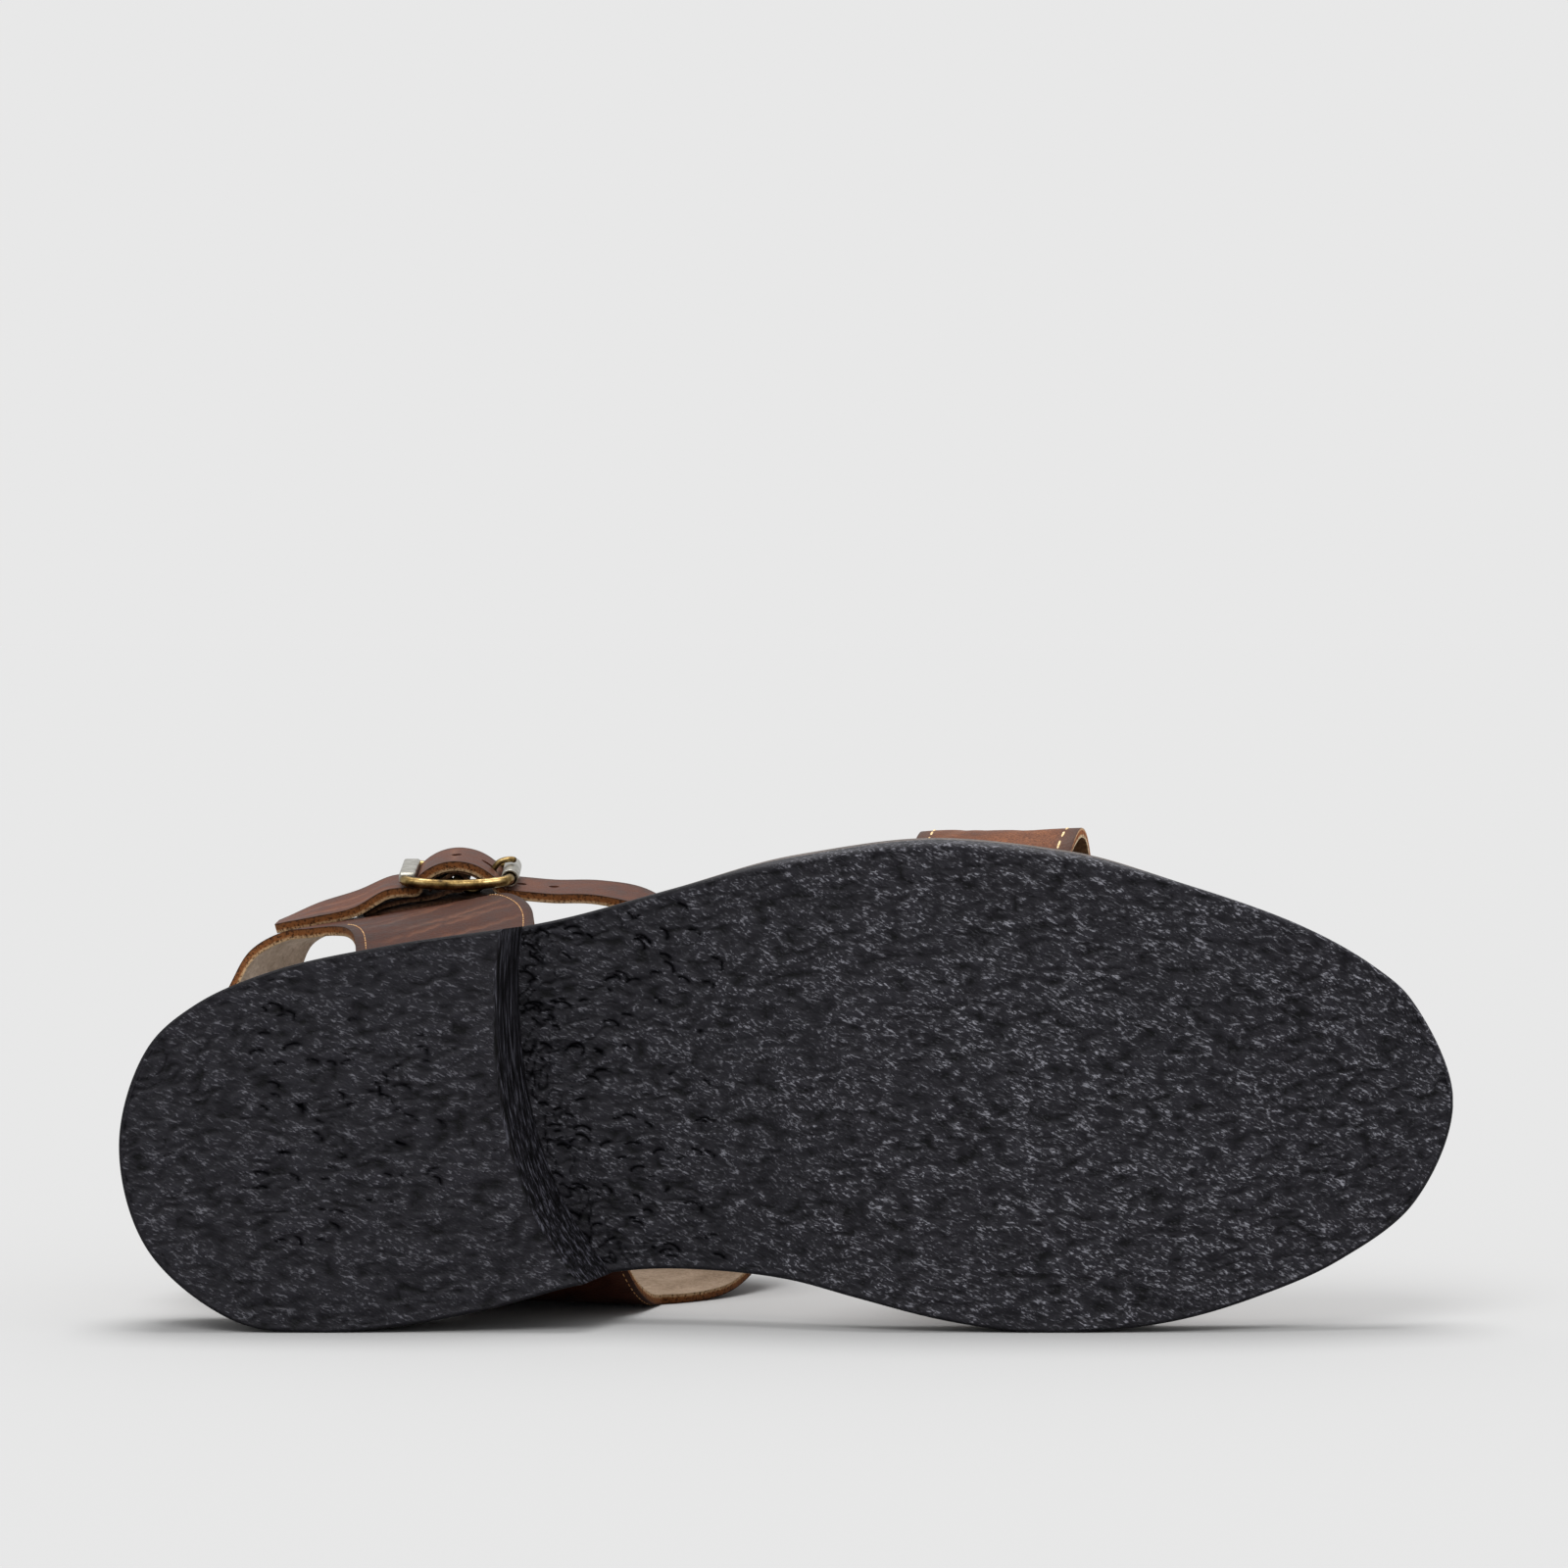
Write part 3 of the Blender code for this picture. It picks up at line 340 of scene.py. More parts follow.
def linear(hex_colour):
    """An sRGB hex colour as linear red, green, blue and alpha."""
    channels = [int(hex_colour[place:place + 2], 16) / 255 for place in (1, 3, 5)]
    return tuple(
        c / 12.92 if c <= 0.04045 else ((c + 0.055) / 1.055) ** 2.4 for c in channels
    ) + (1.0,)


def add_node(tree, kind, output, inputs=(), stops=None, **settings):
    """Add a node and give one of its outputs. inputs go by name, or in order as a tuple.

    An input takes a value, or a link where it is given another node's output.
    """
    node = tree.nodes.new("ShaderNode" + kind)
    for name, value in settings.items():
        setattr(node, name, value)
    inputs = inputs if isinstance(inputs, dict) else dict(enumerate(inputs))
    for name, value in inputs.items():
        if isinstance(value, bpy.types.NodeSocket):
            tree.links.new(value, node.inputs[name])
        else:
            node.inputs[name].default_value = value
    if stops:
        elements = node.color_ramp.elements
        while len(elements) < len(stops):
            elements.new(1.0)
        for element, (position, colour) in zip(elements, stops):
            element.position = position
            element.color = linear(colour) if isinstance(colour, str) else (colour,) * 3 + (1.0,)
    return node.outputs[output]


def new_material(name, **values):
    """A Principled material, what adds its nodes, its shader, and the place on the object."""
    material = bpy.data.materials.new(name)
    material.use_nodes = True
    shader = material.node_tree.nodes["Principled BSDF"]
    for socket, value in values.items():
        shader.inputs[socket.replace("_", " ")].default_value = value

    def node(*asked, **settings):
        return add_node(material.node_tree, *asked, **settings)

    return material, node, shader, node("TexCoord", "Object")


def feed(shader, **sources):
    """Link outputs to the shader's sockets."""
    for socket, source in sources.items():
        shader.id_data.links.new(source, shader.inputs[socket.replace("_", " ")])


def crepe_rubber():
    """Black crepe latex sheets, matt: painted shade in folds, pale scuffed ridges with painted
    highlight.
    """
    material, node, shader, place = new_material("black_crepe_rubber", Roughness=0.60)
    relief, mark, breast = (
        node("Attribute", "Fac", attribute_name=own) for own in ("relief", "mark", "breast")
    )
    # Turn about Y, size, detail, roughness and distortion of the streaks (1.5 by 0.5 mm), the
    # folds' crests (4 by 1 mm), both for scuff and painted highlight, and the breast's ground lines
    patterns = []
    for turn, size, detail, rough, distortion in (
        (30.0, (0.0015, 0.0005, 0.00048), 3.0, 0.65, 0.0),
        (12.0, (0.0038, 0.0012, 0.0012), 2.0, 0.55, 0.5),
        (0.0, (0.0011, 0.0008, 0.0110), 3.0, 0.70, 0.0),
    ):
        turned = {"Vector": place, "Rotation": (0.0, math.radians(turn), 0.0), "Scale": size}
        own_place = node("Mapping", "Vector", turned, vector_type="TEXTURE")
        patterns.append(node("TexNoise", "Fac", {
            "Vector": own_place, "Scale": 1.0, "Detail": detail, "Roughness": rough,
            "Distortion": distortion,
        }))
    streaks, crests, lines = patterns
    # Grain of 0.3 mm, as coarse as shows
    grain = node(
        "TexNoise", "Fac", {"Vector": place, "Scale": 2600.0, "Detail": 2.0, "Roughness": 0.7},
    )
    # Clouds of 8 mm where scuffs and painted highlight come more or less, and least under the heel
    clouds = node("TexNoise", "Fac", {"Vector": place, "Scale": 120.0, "Detail": 2.0})
    along = node("SeparateXYZ", "X", (place,))
    # Painted highlight mixed with pale scuffs, on the high relief of the ridges
    worn = node("MapRange", "Result", (relief, 0.34, 0.70, 0.12, 1.0))
    crest_stops = ((0.42, 0.08), (0.48, 1.0), (0.51, 1.0), (0.56, 0.08))
    for share in (
        node("ValToRGB", "Color", (streaks,), ((0.48, 0.0), (0.61, 1.0))),
        node("ValToRGB", "Color", (crests,), crest_stops),
        node("MapRange", "Result", (clouds, 0.35, 0.65, 0.70, 1.0)),
        node("MapRange", "Result", (along, -0.05, 0.03, 0.42, 0.92)),
    ):
        worn = node("Math", "Value", (worn, share), operation="MULTIPLY")
    # Painted shade: the folds are painted darker than the ridges
    painted_fold_shade_stops = ((0.0, "#060608"), (0.16, "#111015"), (0.40, "#17161b"), (1.0, "#1b1a20"))
    colour = node("ValToRGB", "Color", (relief,), painted_fold_shade_stops)
    line_stops = ((0.42, "#020203"), (0.54, "#1c1b20"), (0.66, "#4c4c54"))
    ground_lines = node("ValToRGB", "Color", (lines,), line_stops)
    # Pale grey of scuffs and painted highlight, near black of marks and of painted shade by the
    # breast
    for share, over in (
        (worn, linear("#8a8a92")), (mark, linear("#020203")), (breast, ground_lines),
    ):
        colour = node("Mix", 2, {0: share, 6: colour, 7: over}, data_type="RGBA")
    gloss = node("MapRange", "Result", (relief, 0.0, 0.5, 0.11, 0.16))
    unmarked = node("Math", "Value", (1.0, mark), operation="SUBTRACT")
    gloss = node("Math", "Value", (gloss, unmarked), operation="MULTIPLY")
    height = node("Mix", 0, {0: breast, 2: streaks, 3: lines}, data_type="FLOAT")
    normal = node("Bump", "Normal", {"Height": height, "Strength": 0.7, "Distance": 0.00030})
    normal = node(
        "Bump", "Normal",
        {"Height": grain, "Strength": 0.45, "Distance": 0.00012, "Normal": normal},
    )
    feed(shader, Base_Color=colour, Specular_IOR_Level=gloss, Normal=normal)
    return material


def midsole_rubber():
    """Grey-brown microcellular rubber with an edge ground on a scouring wheel."""
    material, node, shader, place = new_material("ground_midsole_rubber", Roughness=0.75, IOR=1.5)
    # Scouring lines round the edge, 0.4 mm apart across the sheet's thickness
    line_place = node("Mapping", "Vector", {"Vector": place, "Scale": (0.08, 1.0, 0.08)})
    lines = node("TexNoise", "Fac", {"Vector": line_place, "Scale": 2200.0, "Detail": 3.0})
    cells = node("TexNoise", "Fac", {"Vector": place, "Scale": 1800.0, "Detail": 2.0})
    both = node("Math", "Value", (lines, cells), operation="ADD")
    stops = ((0.70, "#2b2826"), (1.0, "#423b38"), (1.25, "#5a504b"))
    colour = node("ValToRGB", "Color", (both,), stops)
    normal = node("Bump", "Normal", {"Height": both, "Strength": 0.5, "Distance": 0.00012})
    feed(shader, Base_Color=colour, Normal=normal)
    return material


def grain_leather(name, shades, margin_shade, crease_shade, pebble, pitting, roughness):
    """Waxed full-grain leather: pebbled pores, clouded dye, pale creases, painted shade.

    shades are the dark, middle and light of the dye, pebble is the grain's size, and
    pitting is how dark its pits are.
    """
    material, node, shader, place = new_material(
        name, Roughness=roughness, Specular_IOR_Level=0.09,
    )
    margin, crease, shade = (
        node("Attribute", "Fac", attribute_name=own) for own in ("margin", "crease", "shade")
    )
    # Clouds of dye, 7 mm across
    clouds = node(
        "TexNoise", "Fac", {"Vector": place, "Scale": 140.0, "Detail": 5.0, "Roughness": 0.62},
    )
    pebbles = node(
        "TexVoronoi", "Distance",
        {"Vector": place, "Scale": 1.0 / pebble, "Smoothness": 0.5, "Randomness": 1.0},
        feature="SMOOTH_F1",
    )
    pores = node(
        "TexNoise", "Fac",
        {"Vector": place, "Scale": 2.2 / pebble, "Detail": 3.0, "Roughness": 0.7},
    )
    colour = node("ValToRGB", "Color", (clouds,), tuple(zip((0.30, 0.50, 0.72), shades)))
    pits = node("MapRange", "Result", (pores, 0.40, 0.57, pitting, 0.0))
    for share, over in ((pits, shades[0]), (crease, crease_shade), (margin, margin_shade)):
        colour = node("Mix", 2, {0: share, 6: colour, 7: linear(over)}, data_type="RGBA")
    # Painted shade from the shade attribute, on the quarters and the medial side
    colour = node(
        "Mix", 2, {0: shade, 6: colour, 7: GRAIN_PAINTED_SHADE_TINT}, data_type="RGBA", blend_type="MULTIPLY",
    )
    rough = node("MapRange", "Result", (clouds, 0.3, 0.7, roughness - 0.08, roughness + 0.10))
    normal = node("Bump", "Normal", {"Height": pebbles, "Strength": 0.5, "Distance": 0.00016})
    normal = node(
        "Bump", "Normal",
        {"Height": pores, "Strength": 0.5, "Distance": 0.00010, "Normal": normal},
    )
    feed(shader, Base_Color=colour, Roughness=rough, Normal=normal)
    return material


def flesh_leather(name, shades):
    """The flesh side: short matt fibres, pale and grey, with painted shade multiplied in."""
    material, node, shader, place = new_material(name, Roughness=0.95, Specular_IOR_Level=0.05)
    fibres = node(
        "TexNoise", "Fac",
        {"Vector": place, "Scale": 900.0, "Detail": 5.0, "Roughness": 0.75, "Distortion": 0.8},
    )
    clouds = node("TexNoise", "Fac", {"Vector": place, "Scale": 120.0, "Detail": 3.0})
    both = node("Mix", 0, {0: 0.45, 2: fibres, 3: clouds}, data_type="FLOAT")
    colour = node("ValToRGB", "Color", (both,), tuple(zip((0.36, 0.50, 0.64), shades)))
    # Painted shade from the shade attribute, darkest on the medial side and the quarters
    shade = node("Attribute", "Fac", attribute_name="shade")
    colour = node(
        "Mix", 2, {0: shade, 6: colour, 7: FLESH_PAINTED_SHADE_TINT}, data_type="RGBA", blend_type="MULTIPLY",
    )
    normal = node("Bump", "Normal", {"Height": fibres, "Strength": 0.8, "Distance": 0.0002})
    feed(shader, Base_Color=colour, Normal=normal)
    return material


def cut_edge(name, layers, speck):
    """The cut edge: dyed fibres with dark specks, paler where grain and flesh part."""
    material, node, shader, place = new_material(name, Roughness=0.8, Specular_IOR_Level=0.10)
    depth = node("Attribute", "Fac", attribute_name="depth")
    fibres = node(
        "TexNoise", "Fac", {"Vector": place, "Scale": 1700.0, "Detail": 4.0, "Roughness": 0.75},
    )
    frayed = node("MapRange", "Result", (fibres, 0.3, 0.7, -0.10, 0.10))
    level = node("Math", "Value", (depth, frayed), operation="ADD", use_clamp=True)
    colour = node("ValToRGB", "Color", (level,), layers)
    specks = node("MapRange", "Result", (fibres, 0.50, 0.40, 0.0, 0.85))
    colour = node("Mix", 2, {0: specks, 6: colour, 7: linear(speck)}, data_type="RGBA")
    normal = node("Bump", "Normal", {"Height": fibres, "Strength": 0.9, "Distance": 0.00025})
    feed(shader, Base_Color=colour, Normal=normal)
    return material


def mottled(name, shades, spread, clouds, grain, bump, rubbed=None, **values):
    """A smooth surface clouded in three shades, with a fine grain of its own.

    clouds and grain are scale, detail and roughness, bump is strength and depth, and
    rubbed is the roughness where the clouds are dark and where they are light.
    """
    material, node, shader, place = new_material(name, **values)
    cloud, fine = (
        node("TexNoise", "Fac", {
            "Vector": place, "Scale": scale, "Detail": detail, "Roughness": rough,
        }) for scale, detail, rough in (clouds, grain)
    )
    stops = tuple(zip((0.5 - spread, 0.5, 0.5 + spread), shades))
    colour = node("ValToRGB", "Color", (cloud,), stops)
    normal = node("Bump", "Normal", {"Height": fine, "Strength": bump[0], "Distance": bump[1]})
    feed(shader, Base_Color=colour, Normal=normal)
    if rubbed:
        feed(shader, Roughness=node("MapRange", "Result", (cloud, 0.3, 0.7, *rubbed)))
    return material


def metal(name, shades, roughness, scratch):
    """Cast and tumbled metal: soft mottling, fine scratches, brighter where it is rubbed."""
    return mottled(
        name, shades, 0.18, (420.0, 5.0, 0.6), (2600.0, 3.0, 0.5), (scratch, 0.00005),
        (roughness + 0.10, roughness - 0.08), Metallic=1.0, Roughness=roughness,
    )


def waxed_thread(name, shades):
    """Waxed linen thread: two plies, a soft gloss."""
    plies = (2500.0, 2.0, 0.5)
    return mottled(
        name, shades, 0.15, plies, plies, (0.5, 0.0001), Roughness=0.6, Specular_IOR_Level=0.2,
    )


def footbed_leather():
    """Vegetable-tanned footbed: smooth, matt, with fine pores."""
    return mottled(
        "footbed_vegetable_leather", ("#6b4d3b", "#7d5c47", "#8f6d55"), 0.20, (45.0, 6.0, 0.6),
        (2400.0, 2.0, 0.5), (0.4, 0.0001), Roughness=0.55, IOR=1.48,
    )


def pick(*items):
    """Select these objects alone, with the first one active."""
    bpy.ops.object.select_all(action="DESELECT")
    for item in items:
        item.select_set(True)
    if items:
        bpy.context.view_layer.objects.active = items[0]


def primitive(name, add, **settings):
    """Add a primitive, with nothing else selected."""
    pick()
    add(**settings)
    bpy.context.object.name = name
    return bpy.context.object


def get_points(item):
    flat = np.empty(len(item.data.vertices) * 3)
    item.data.vertices.foreach_get("co", flat)
    return flat.reshape(-1, 3)


def add_sheet(name, rows):
    """A grid primitive whose points are moved onto the rows, with each point's row and column."""
    count, columns = rows.shape[:2]
    item = primitive(
        name, bpy.ops.mesh.primitive_grid_add,
        x_subdivisions=columns - 1, y_subdivisions=count - 1, size=2.0,
    )
    flat = get_points(item)
    column = np.rint((flat[:, 0] + 1) / 2 * (columns - 1)).astype(int)
    row = np.rint((flat[:, 1] + 1) / 2 * (count - 1)).astype(int)
    item.data.vertices.foreach_set("co", rows[row, column].ravel())
    item.data.update()
    return item, row, column


def set_attributes(item, **values):
    """Store a number for each vertex, or one for all, for the materials to read."""
    count = len(item.data.vertices)
    for name, own in values.items():
        attribute = item.data.attributes.new(name, "FLOAT", "POINT")
        own = np.broadcast_to(np.asarray(own, dtype=np.float32), count)
        attribute.data.foreach_set("value", np.ascontiguousarray(own))


def apply_modifier(item, kind, **settings):
    pick(item)
    change = item.modifiers.new(kind.title(), kind)
    for name, value in settings.items():
        setattr(change, name, value)
    bpy.ops.object.modifier_apply(modifier=change.name)


def combine(item, other, operation):
    """Cut the other shape out of the piece, or weld it on."""
    apply_modifier(item, "BOOLEAN", object=other, operation=operation, solver="EXACT")
    bpy.data.objects.remove(other, do_unlink=True)


def give_materials(item, *materials):
    item.data.materials.clear()
    for material in materials:
        item.data.materials.append(material)


def lay_down(item, nodes, finish=None, smooth_deg=40.0):
    """Turn a finished piece into the row's frame, and hide the parts of model.glb that it stands for.
    """
    if finish:
        give_materials(item, finish)
    item.data.transform(LYING_POSE)
    pick(item)
    bpy.ops.object.shade_smooth_by_angle(angle=math.radians(smooth_deg))
    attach(item, "root")
    if nodes:
        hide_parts(*nodes)


def hooked_marks(count, low, high, seed):
    """Small hooked cracks in the crepe: centre, radius, first angle and sweep."""
    random = np.random.default_rng(seed)
    marks = []
    for _ in range(count):
        x = low[0] + (high[0] - low[0]) * random.random() ** 1.5
        y = low[1] + (high[1] - low[1]) * random.random()
        radius = 0.0009 + 0.0013 * random.random()
        first = math.radians(random.uniform(-175.0, -70.0))
        sweep = math.radians(random.uniform(60.0, 150.0))
        marks.append((x, y, radius, first, sweep))
    return marks


def mark_depth(points, marks):
    """How deep a point lies in the nearest hooked mark, from 0 to 1."""
    depth = np.zeros(len(points))
    for x, y, radius, first, sweep in marks:
        near = np.flatnonzero(
            (np.abs(points[:, 0] - x) < 2.2 * radius) & (np.abs(points[:, 1] - y) < 2.2 * radius)
        )
        if not len(near):
            continue
        dx = (points[near, 0] - x) * 0.8
        dy = points[near, 1] - y
        off = np.abs(np.hypot(dx, dy) - radius)
        turn = (np.arctan2(dy, dx) - first) % (2 * np.pi)
        inside = np.clip((sweep - turn) / 0.5, 0.0, 1.0)
        groove = np.exp(-(off / HOOK_WIDTH) ** 2) * inside
        depth[near] = np.maximum(depth[near], groove)
    return depth


def crepe_wrinkle(x, y):
    """The crepe's surface at a place on the tread, from 0 in a fold to 1 on a ridge.

    Wrinkles are about 6 mm long and 2 mm wide. By the breast they turn across the sole.
    """
    ahead = x - BREAST_X - BREAST_SWEEP * max(0.0, y / BALL_WIDTH + 0.4) ** 3
    turned = 1.1 * ahead * math.exp(-ahead / 0.010) if ahead > 0.0 else 0.0
    slant = y + turned + 0.10 * x
    warp = 0.0018 * noise.noise(Vector((x / 0.0085, slant / 0.0055, 3.1)))
    warp += 0.0009 * noise.noise(Vector((x / 0.0030, slant / 0.0022, 8.4)))
    across = slant + warp
    broad = noise.noise(Vector((x / 0.0140, across / 0.0060, 0.0)))
    ripple = noise.noise(Vector((x / 0.0062, across / 0.0016, 14.2)))
    wrinkle = noise.noise(Vector((x / 0.0030, across / 0.0012, 5.3)))
    small = noise.noise(Vector((x / 0.0016, across / 0.0008, 1.7)))
    # Folds lap over: each ridge falls off steeply on its lower side
    lap = noise.noise(Vector((x / 0.0030, (across - 0.0004) / 0.0012, 5.3))) - wrinkle
    crack_line = abs(noise.noise(Vector((x / 0.0090, across / 0.0032, 12.9))))
    crack_here = noise.noise(Vector((x / 0.0120, across / 0.0100, 21.0)))
    crack = max(0.0, 1.0 - crack_line / 0.07) * min(1.0, max(0.0, 3.0 * crack_here + 0.6))
    level = 0.54 + 0.04 * broad + 0.45 * ripple + 0.75 * wrinkle + 0.28 * small
    level += 0.40 * lap - 0.60 * crack
    return min(1.0, max(0.0, level))


def slab(name, along, across, place, levels, stride=12):
    """A closed slab: a fine face below, a side through the levels, and a plain top.

    place gives the points from their shares along and across and their level. The hidden
    top closes in strips of stride rows, to follow the sole's curve.
    """
    along, across = np.asarray(along), np.asarray(across)
    last, side = len(along) - 1, len(across) - 1
    item, row, column = add_sheet(name, np.zeros((last + 1, side + 1, 3)))
    bm = bmesh.new()
    bm.from_mesh(item.data)
    labels = ("row", "column", "level")
    row_of, column_of, level_of = (bm.verts.layers.int.new(label) for label in labels)
    for vert, own_row, own_column in zip(bm.verts, row, column):
        vert[row_of] = int(own_row)
        vert[column_of] = int(own_column)
    for level in range(1, levels):
        rim = [edge for edge in bm.edges if edge.is_boundary]
        for part in bmesh.ops.extrude_edge_only(bm, edges=rim)["geom"]:
            if isinstance(part, bmesh.types.BMVert):
                part[level_of] = level
    top = {(v[row_of], v[column_of]): v for v in bm.verts if v[level_of] == levels - 1}
    for start in range(0, last, stride):
        stop = min(start + stride, last)
        corners = [(own, 0) for own in range(start, stop + 1)]
        if stop == last:
            corners += [(last, own) for own in range(1, side)]
        corners += [(own, side) for own in range(stop, start - 1, -1)]
        if start == 0:
            corners += [(0, own) for own in range(side - 1, 0, -1)]
        bm.faces.new([top[corner] for corner in corners])
    station = along[[vert[row_of] for vert in bm.verts]]
    share = across[[vert[column_of] for vert in bm.verts]]
    level = np.array([vert[level_of] for vert in bm.verts])
    points = place(station, share, level)
    for vert, point in zip(bm.verts, points):
        vert.co = point
    bmesh.ops.recalc_face_normals(bm, faces=bm.faces)
    if bm.calc_volume(signed=True) < 0.0:
        bmesh.ops.reverse_faces(bm, faces=bm.faces)
    bm.to_mesh(item.data)
    bm.free()
    for label in labels:
        item.data.attributes.remove(item.data.attributes[label])
    return item, points, station, share, level


def sole_point(insets, heights, front=None):
    """The place function of a slab whose levels have these insets and height functions."""
    outlines = [Outline(inset) for inset in insets]

    def place(along, across, level):
        points = np.zeros((len(along), 3))
        for number, (outline, height) in enumerate(zip(outlines, heights)):
            own = level == number
            share = across[own]
            end = outline.toe
            if front:
                end = front(share, height(np.full(len(share), BREAST_X), share)) - insets[number]
            x = outline.rear + (end - outline.rear) * along[own]
            z = height(x, share)
            y = outline.across(x, share) - wall_lean(x, share) * z
            points[own] = np.stack((x, y, z), axis=1)
        return points

    return place


def arc_stations(step, low=0.0, high=1.0):
    """Shares of the length, closer where the outline turns across the sole."""
    outline = Outline()
    shares = np.linspace(0.0002, 0.9998, 4000)
    x = outline.rear + (outline.toe - outline.rear) * shares
    edge = outline.across(x, 0.0)
    run = np.concatenate(((0.0,), np.cumsum(np.hypot(np.diff(x), np.diff(edge)))))
    inside = (shares >= low) & (shares <= high)
    shares, run = shares[inside], run[inside]
    count = max(2, int(round((run[-1] - run[0]) / step)))
    return np.interp(np.linspace(run[0], run[-1], count + 1), run, shares)


def rounded_levels(radius, steps=3):
    """Inset and rise of a rounded edge, from the face to the side."""
    turns = [math.radians(90.0 * step / steps) for step in range(steps + 1)]
    return [(radius * (1 - math.sin(turn)), radius * (1 - math.cos(turn))) for turn in turns]


def press_relief(item, points, across, level, marks, breast=0.0, torn_reach=0.0):
    """Press the crepe's folds and marks into the tread, and store them for the material."""
    relief = np.full(len(points), 0.12)
    # Painted highlight: the forefoot's outer side, which faces up as the sandal lies, is painted pale
    # grey
    relief += 0.55 * ease((points[:, 0] - 0.130) / 0.02) * (across < 0.1)
    tread = np.flatnonzero(level == 0)
    relief[tread] = [crepe_wrinkle(x, y) for x, y, _ in points[tread]]
    mark = np.zeros(len(points))
    mark[tread] = mark_depth(points[tread], marks)
    # Torn lines along the foot of the breast, also painted shade of the heel block, darkest next to
    # it
    for place in tread if torn_reach else ():
        x, y, _ = points[place]
        ahead = (x - breast_x(across[place], HEEL_HEIGHT)) / torn_reach
        if 0.0 < ahead < 1.0:
            line = abs(noise.noise(Vector((ahead * 5.0 + y / 0.006, y / 0.0042, 2.2))))
            torn = max(0.0, 1.0 - line / 0.13)
            mark[place] = max(mark[place], (1.0 - ahead) ** 0.6 * torn)
    edge = np.clip(np.minimum(across, 1.0 - across) / 0.012, 0.0, 1.0)
    sunk = points.copy()
    depth = FOLD_DEPTH * (1.0 - relief) + HOOK_DEPTH * mark
    sunk[tread, 2] += (depth * (0.35 + 0.65 * edge))[tread]
    item.data.vertices.foreach_set("co", sunk.ravel())
    # The material paints shade into low relief, highlight onto high relief, and near black into the
    # marks
    set_attributes(item, relief=relief, mark=np.minimum(1.0, 1.1 * mark), breast=breast)
    item.data.update()


def ground(x, share):
    return np.zeros_like(x)


def raised(base, rise):
    return lambda x, share: base(x, share) + rise


def build_outsole(crepe):
    hidden = arc_stations(0.0035, 0.0, 0.255)
    near = arc_stations(CREPE_NEAR_BREAST, 0.255, 0.430)
    rest = arc_stations(CREPE_ALONG, 0.430, 1.0)
    along = np.concatenate((hidden, near[1:], rest[1:]))
    across = np.linspace(0.0, 1.0, int(BALL_WIDTH / CREPE_ACROSS) + 1)
    edge = rounded_levels(GROUND_BEVEL)
    insets = [inset for inset, _ in edge] + [0.0, 0.0]
    rises = [rise for _, rise in edge] + [0.6 * OUTSOLE_THICKNESS, OUTSOLE_THICKNESS - CLEARANCE]
    heights = [raised(tread_height, rise) for rise in rises]
    item, points, _, share, level = slab(
        "crepe_outsole", along, across, sole_point(insets, heights), len(insets),
    )
    marks = hooked_marks(WAIST_HOOKS, (0.0850, -0.050), (0.1290, 0.032), HOOK_SEED)
    press_relief(item, points, share, level, marks, torn_reach=TORN_REACH)
    lay_down(item, ("outsole",), crepe)


def build_heel(crepe):
    along = 1.0 - np.cos(np.linspace(0.008, math.pi / 2, HEEL_ROWS))
    across = np.linspace(0.0, 1.0, HEEL_COLUMNS)
    edge = rounded_levels(GROUND_BEVEL)
    rises = np.linspace(GROUND_BEVEL, HEEL_HEIGHT, 8)[1:-1]
    insets = [inset for inset, _ in edge] + [0.0] * (len(rises) + 1)
    heights = [raised(ground, rise) for rise in [own for _, own in edge] + list(rises)]
    heights.append(raised(tread_height, -CLEARANCE))
    item, points, station, share, level = slab(
        "crepe_heel", along, across, sole_point(insets, heights, breast_x), len(insets),
        len(along),
    )
    breast = (station > 0.9999) & (level > 0)
    marks = hooked_marks(HEEL_HOOKS, (0.030, -0.030), (0.072, 0.022), HOOK_SEED + 1)
    press_relief(item, points, share, level, marks, breast)
    lay_down(item, ("heel_block",), crepe)


def build_midsole(finish):
    along = arc_stations(0.0013)
    across = np.linspace(0.0, 1.0, 13)
    base = raised(tread_height, OUTSOLE_THICKNESS)
    worn = 0.0003
    insets = (MIDSOLE_STEP + worn, MIDSOLE_STEP, MIDSOLE_STEP, MIDSOLE_STEP + worn)
    rises = (0.0, worn, MIDSOLE_THICKNESS - worn, MIDSOLE_THICKNESS)
    heights = [raised(base, rise) for rise in rises]
    item, *_ = slab("midsole_sheet", along, across, sole_point(insets, heights), len(insets))
    lay_down(item, ("midsole",), finish)


def build_footbed(finish):
    along = arc_stations(0.0022)[::-1]
    across = np.linspace(0.0, 1.0, 49)
    top = raised(tread_height, OUTSOLE_THICKNESS + MIDSOLE_THICKNESS + CLEARANCE)
    inset = LASTING_INSET + LEATHER / 2 + 2 * CLEARANCE
    edge = rounded_levels(GROUND_BEVEL)
    insets = [inset + own for own, _ in edge] + [inset]
    heights = [raised(top, INSOLE_THICKNESS - rise) for _, rise in edge] + [top]
    item, *_ = slab("leather_footbed", along, across, sole_point(insets, heights), len(insets))
    lay_down(item, ("insole",), finish)


def strap_foot(along, side, height=0.0):
    """Middle of a strap's leather where it stands on the midsole, at a share of length."""
    x = along * SOLE_LENGTH
    share = 1.0 if side == "medial" else 0.0
    z = tread_height(x, share) + OUTSOLE_THICKNESS + MIDSOLE_THICKNESS + CLEARANCE
    y = Outline(LASTING_INSET).across(x, share) - SIDE_LEAN * z
    return np.array((x, y, z + height))


def upper_point(along, across, rise):
    z = HEEL_HEIGHT + OUTSOLE_THICKNESS + MIDSOLE_THICKNESS + rise * UPPER_RISE
    return np.array((along * SOLE_LENGTH, across * BALL_WIDTH, z))


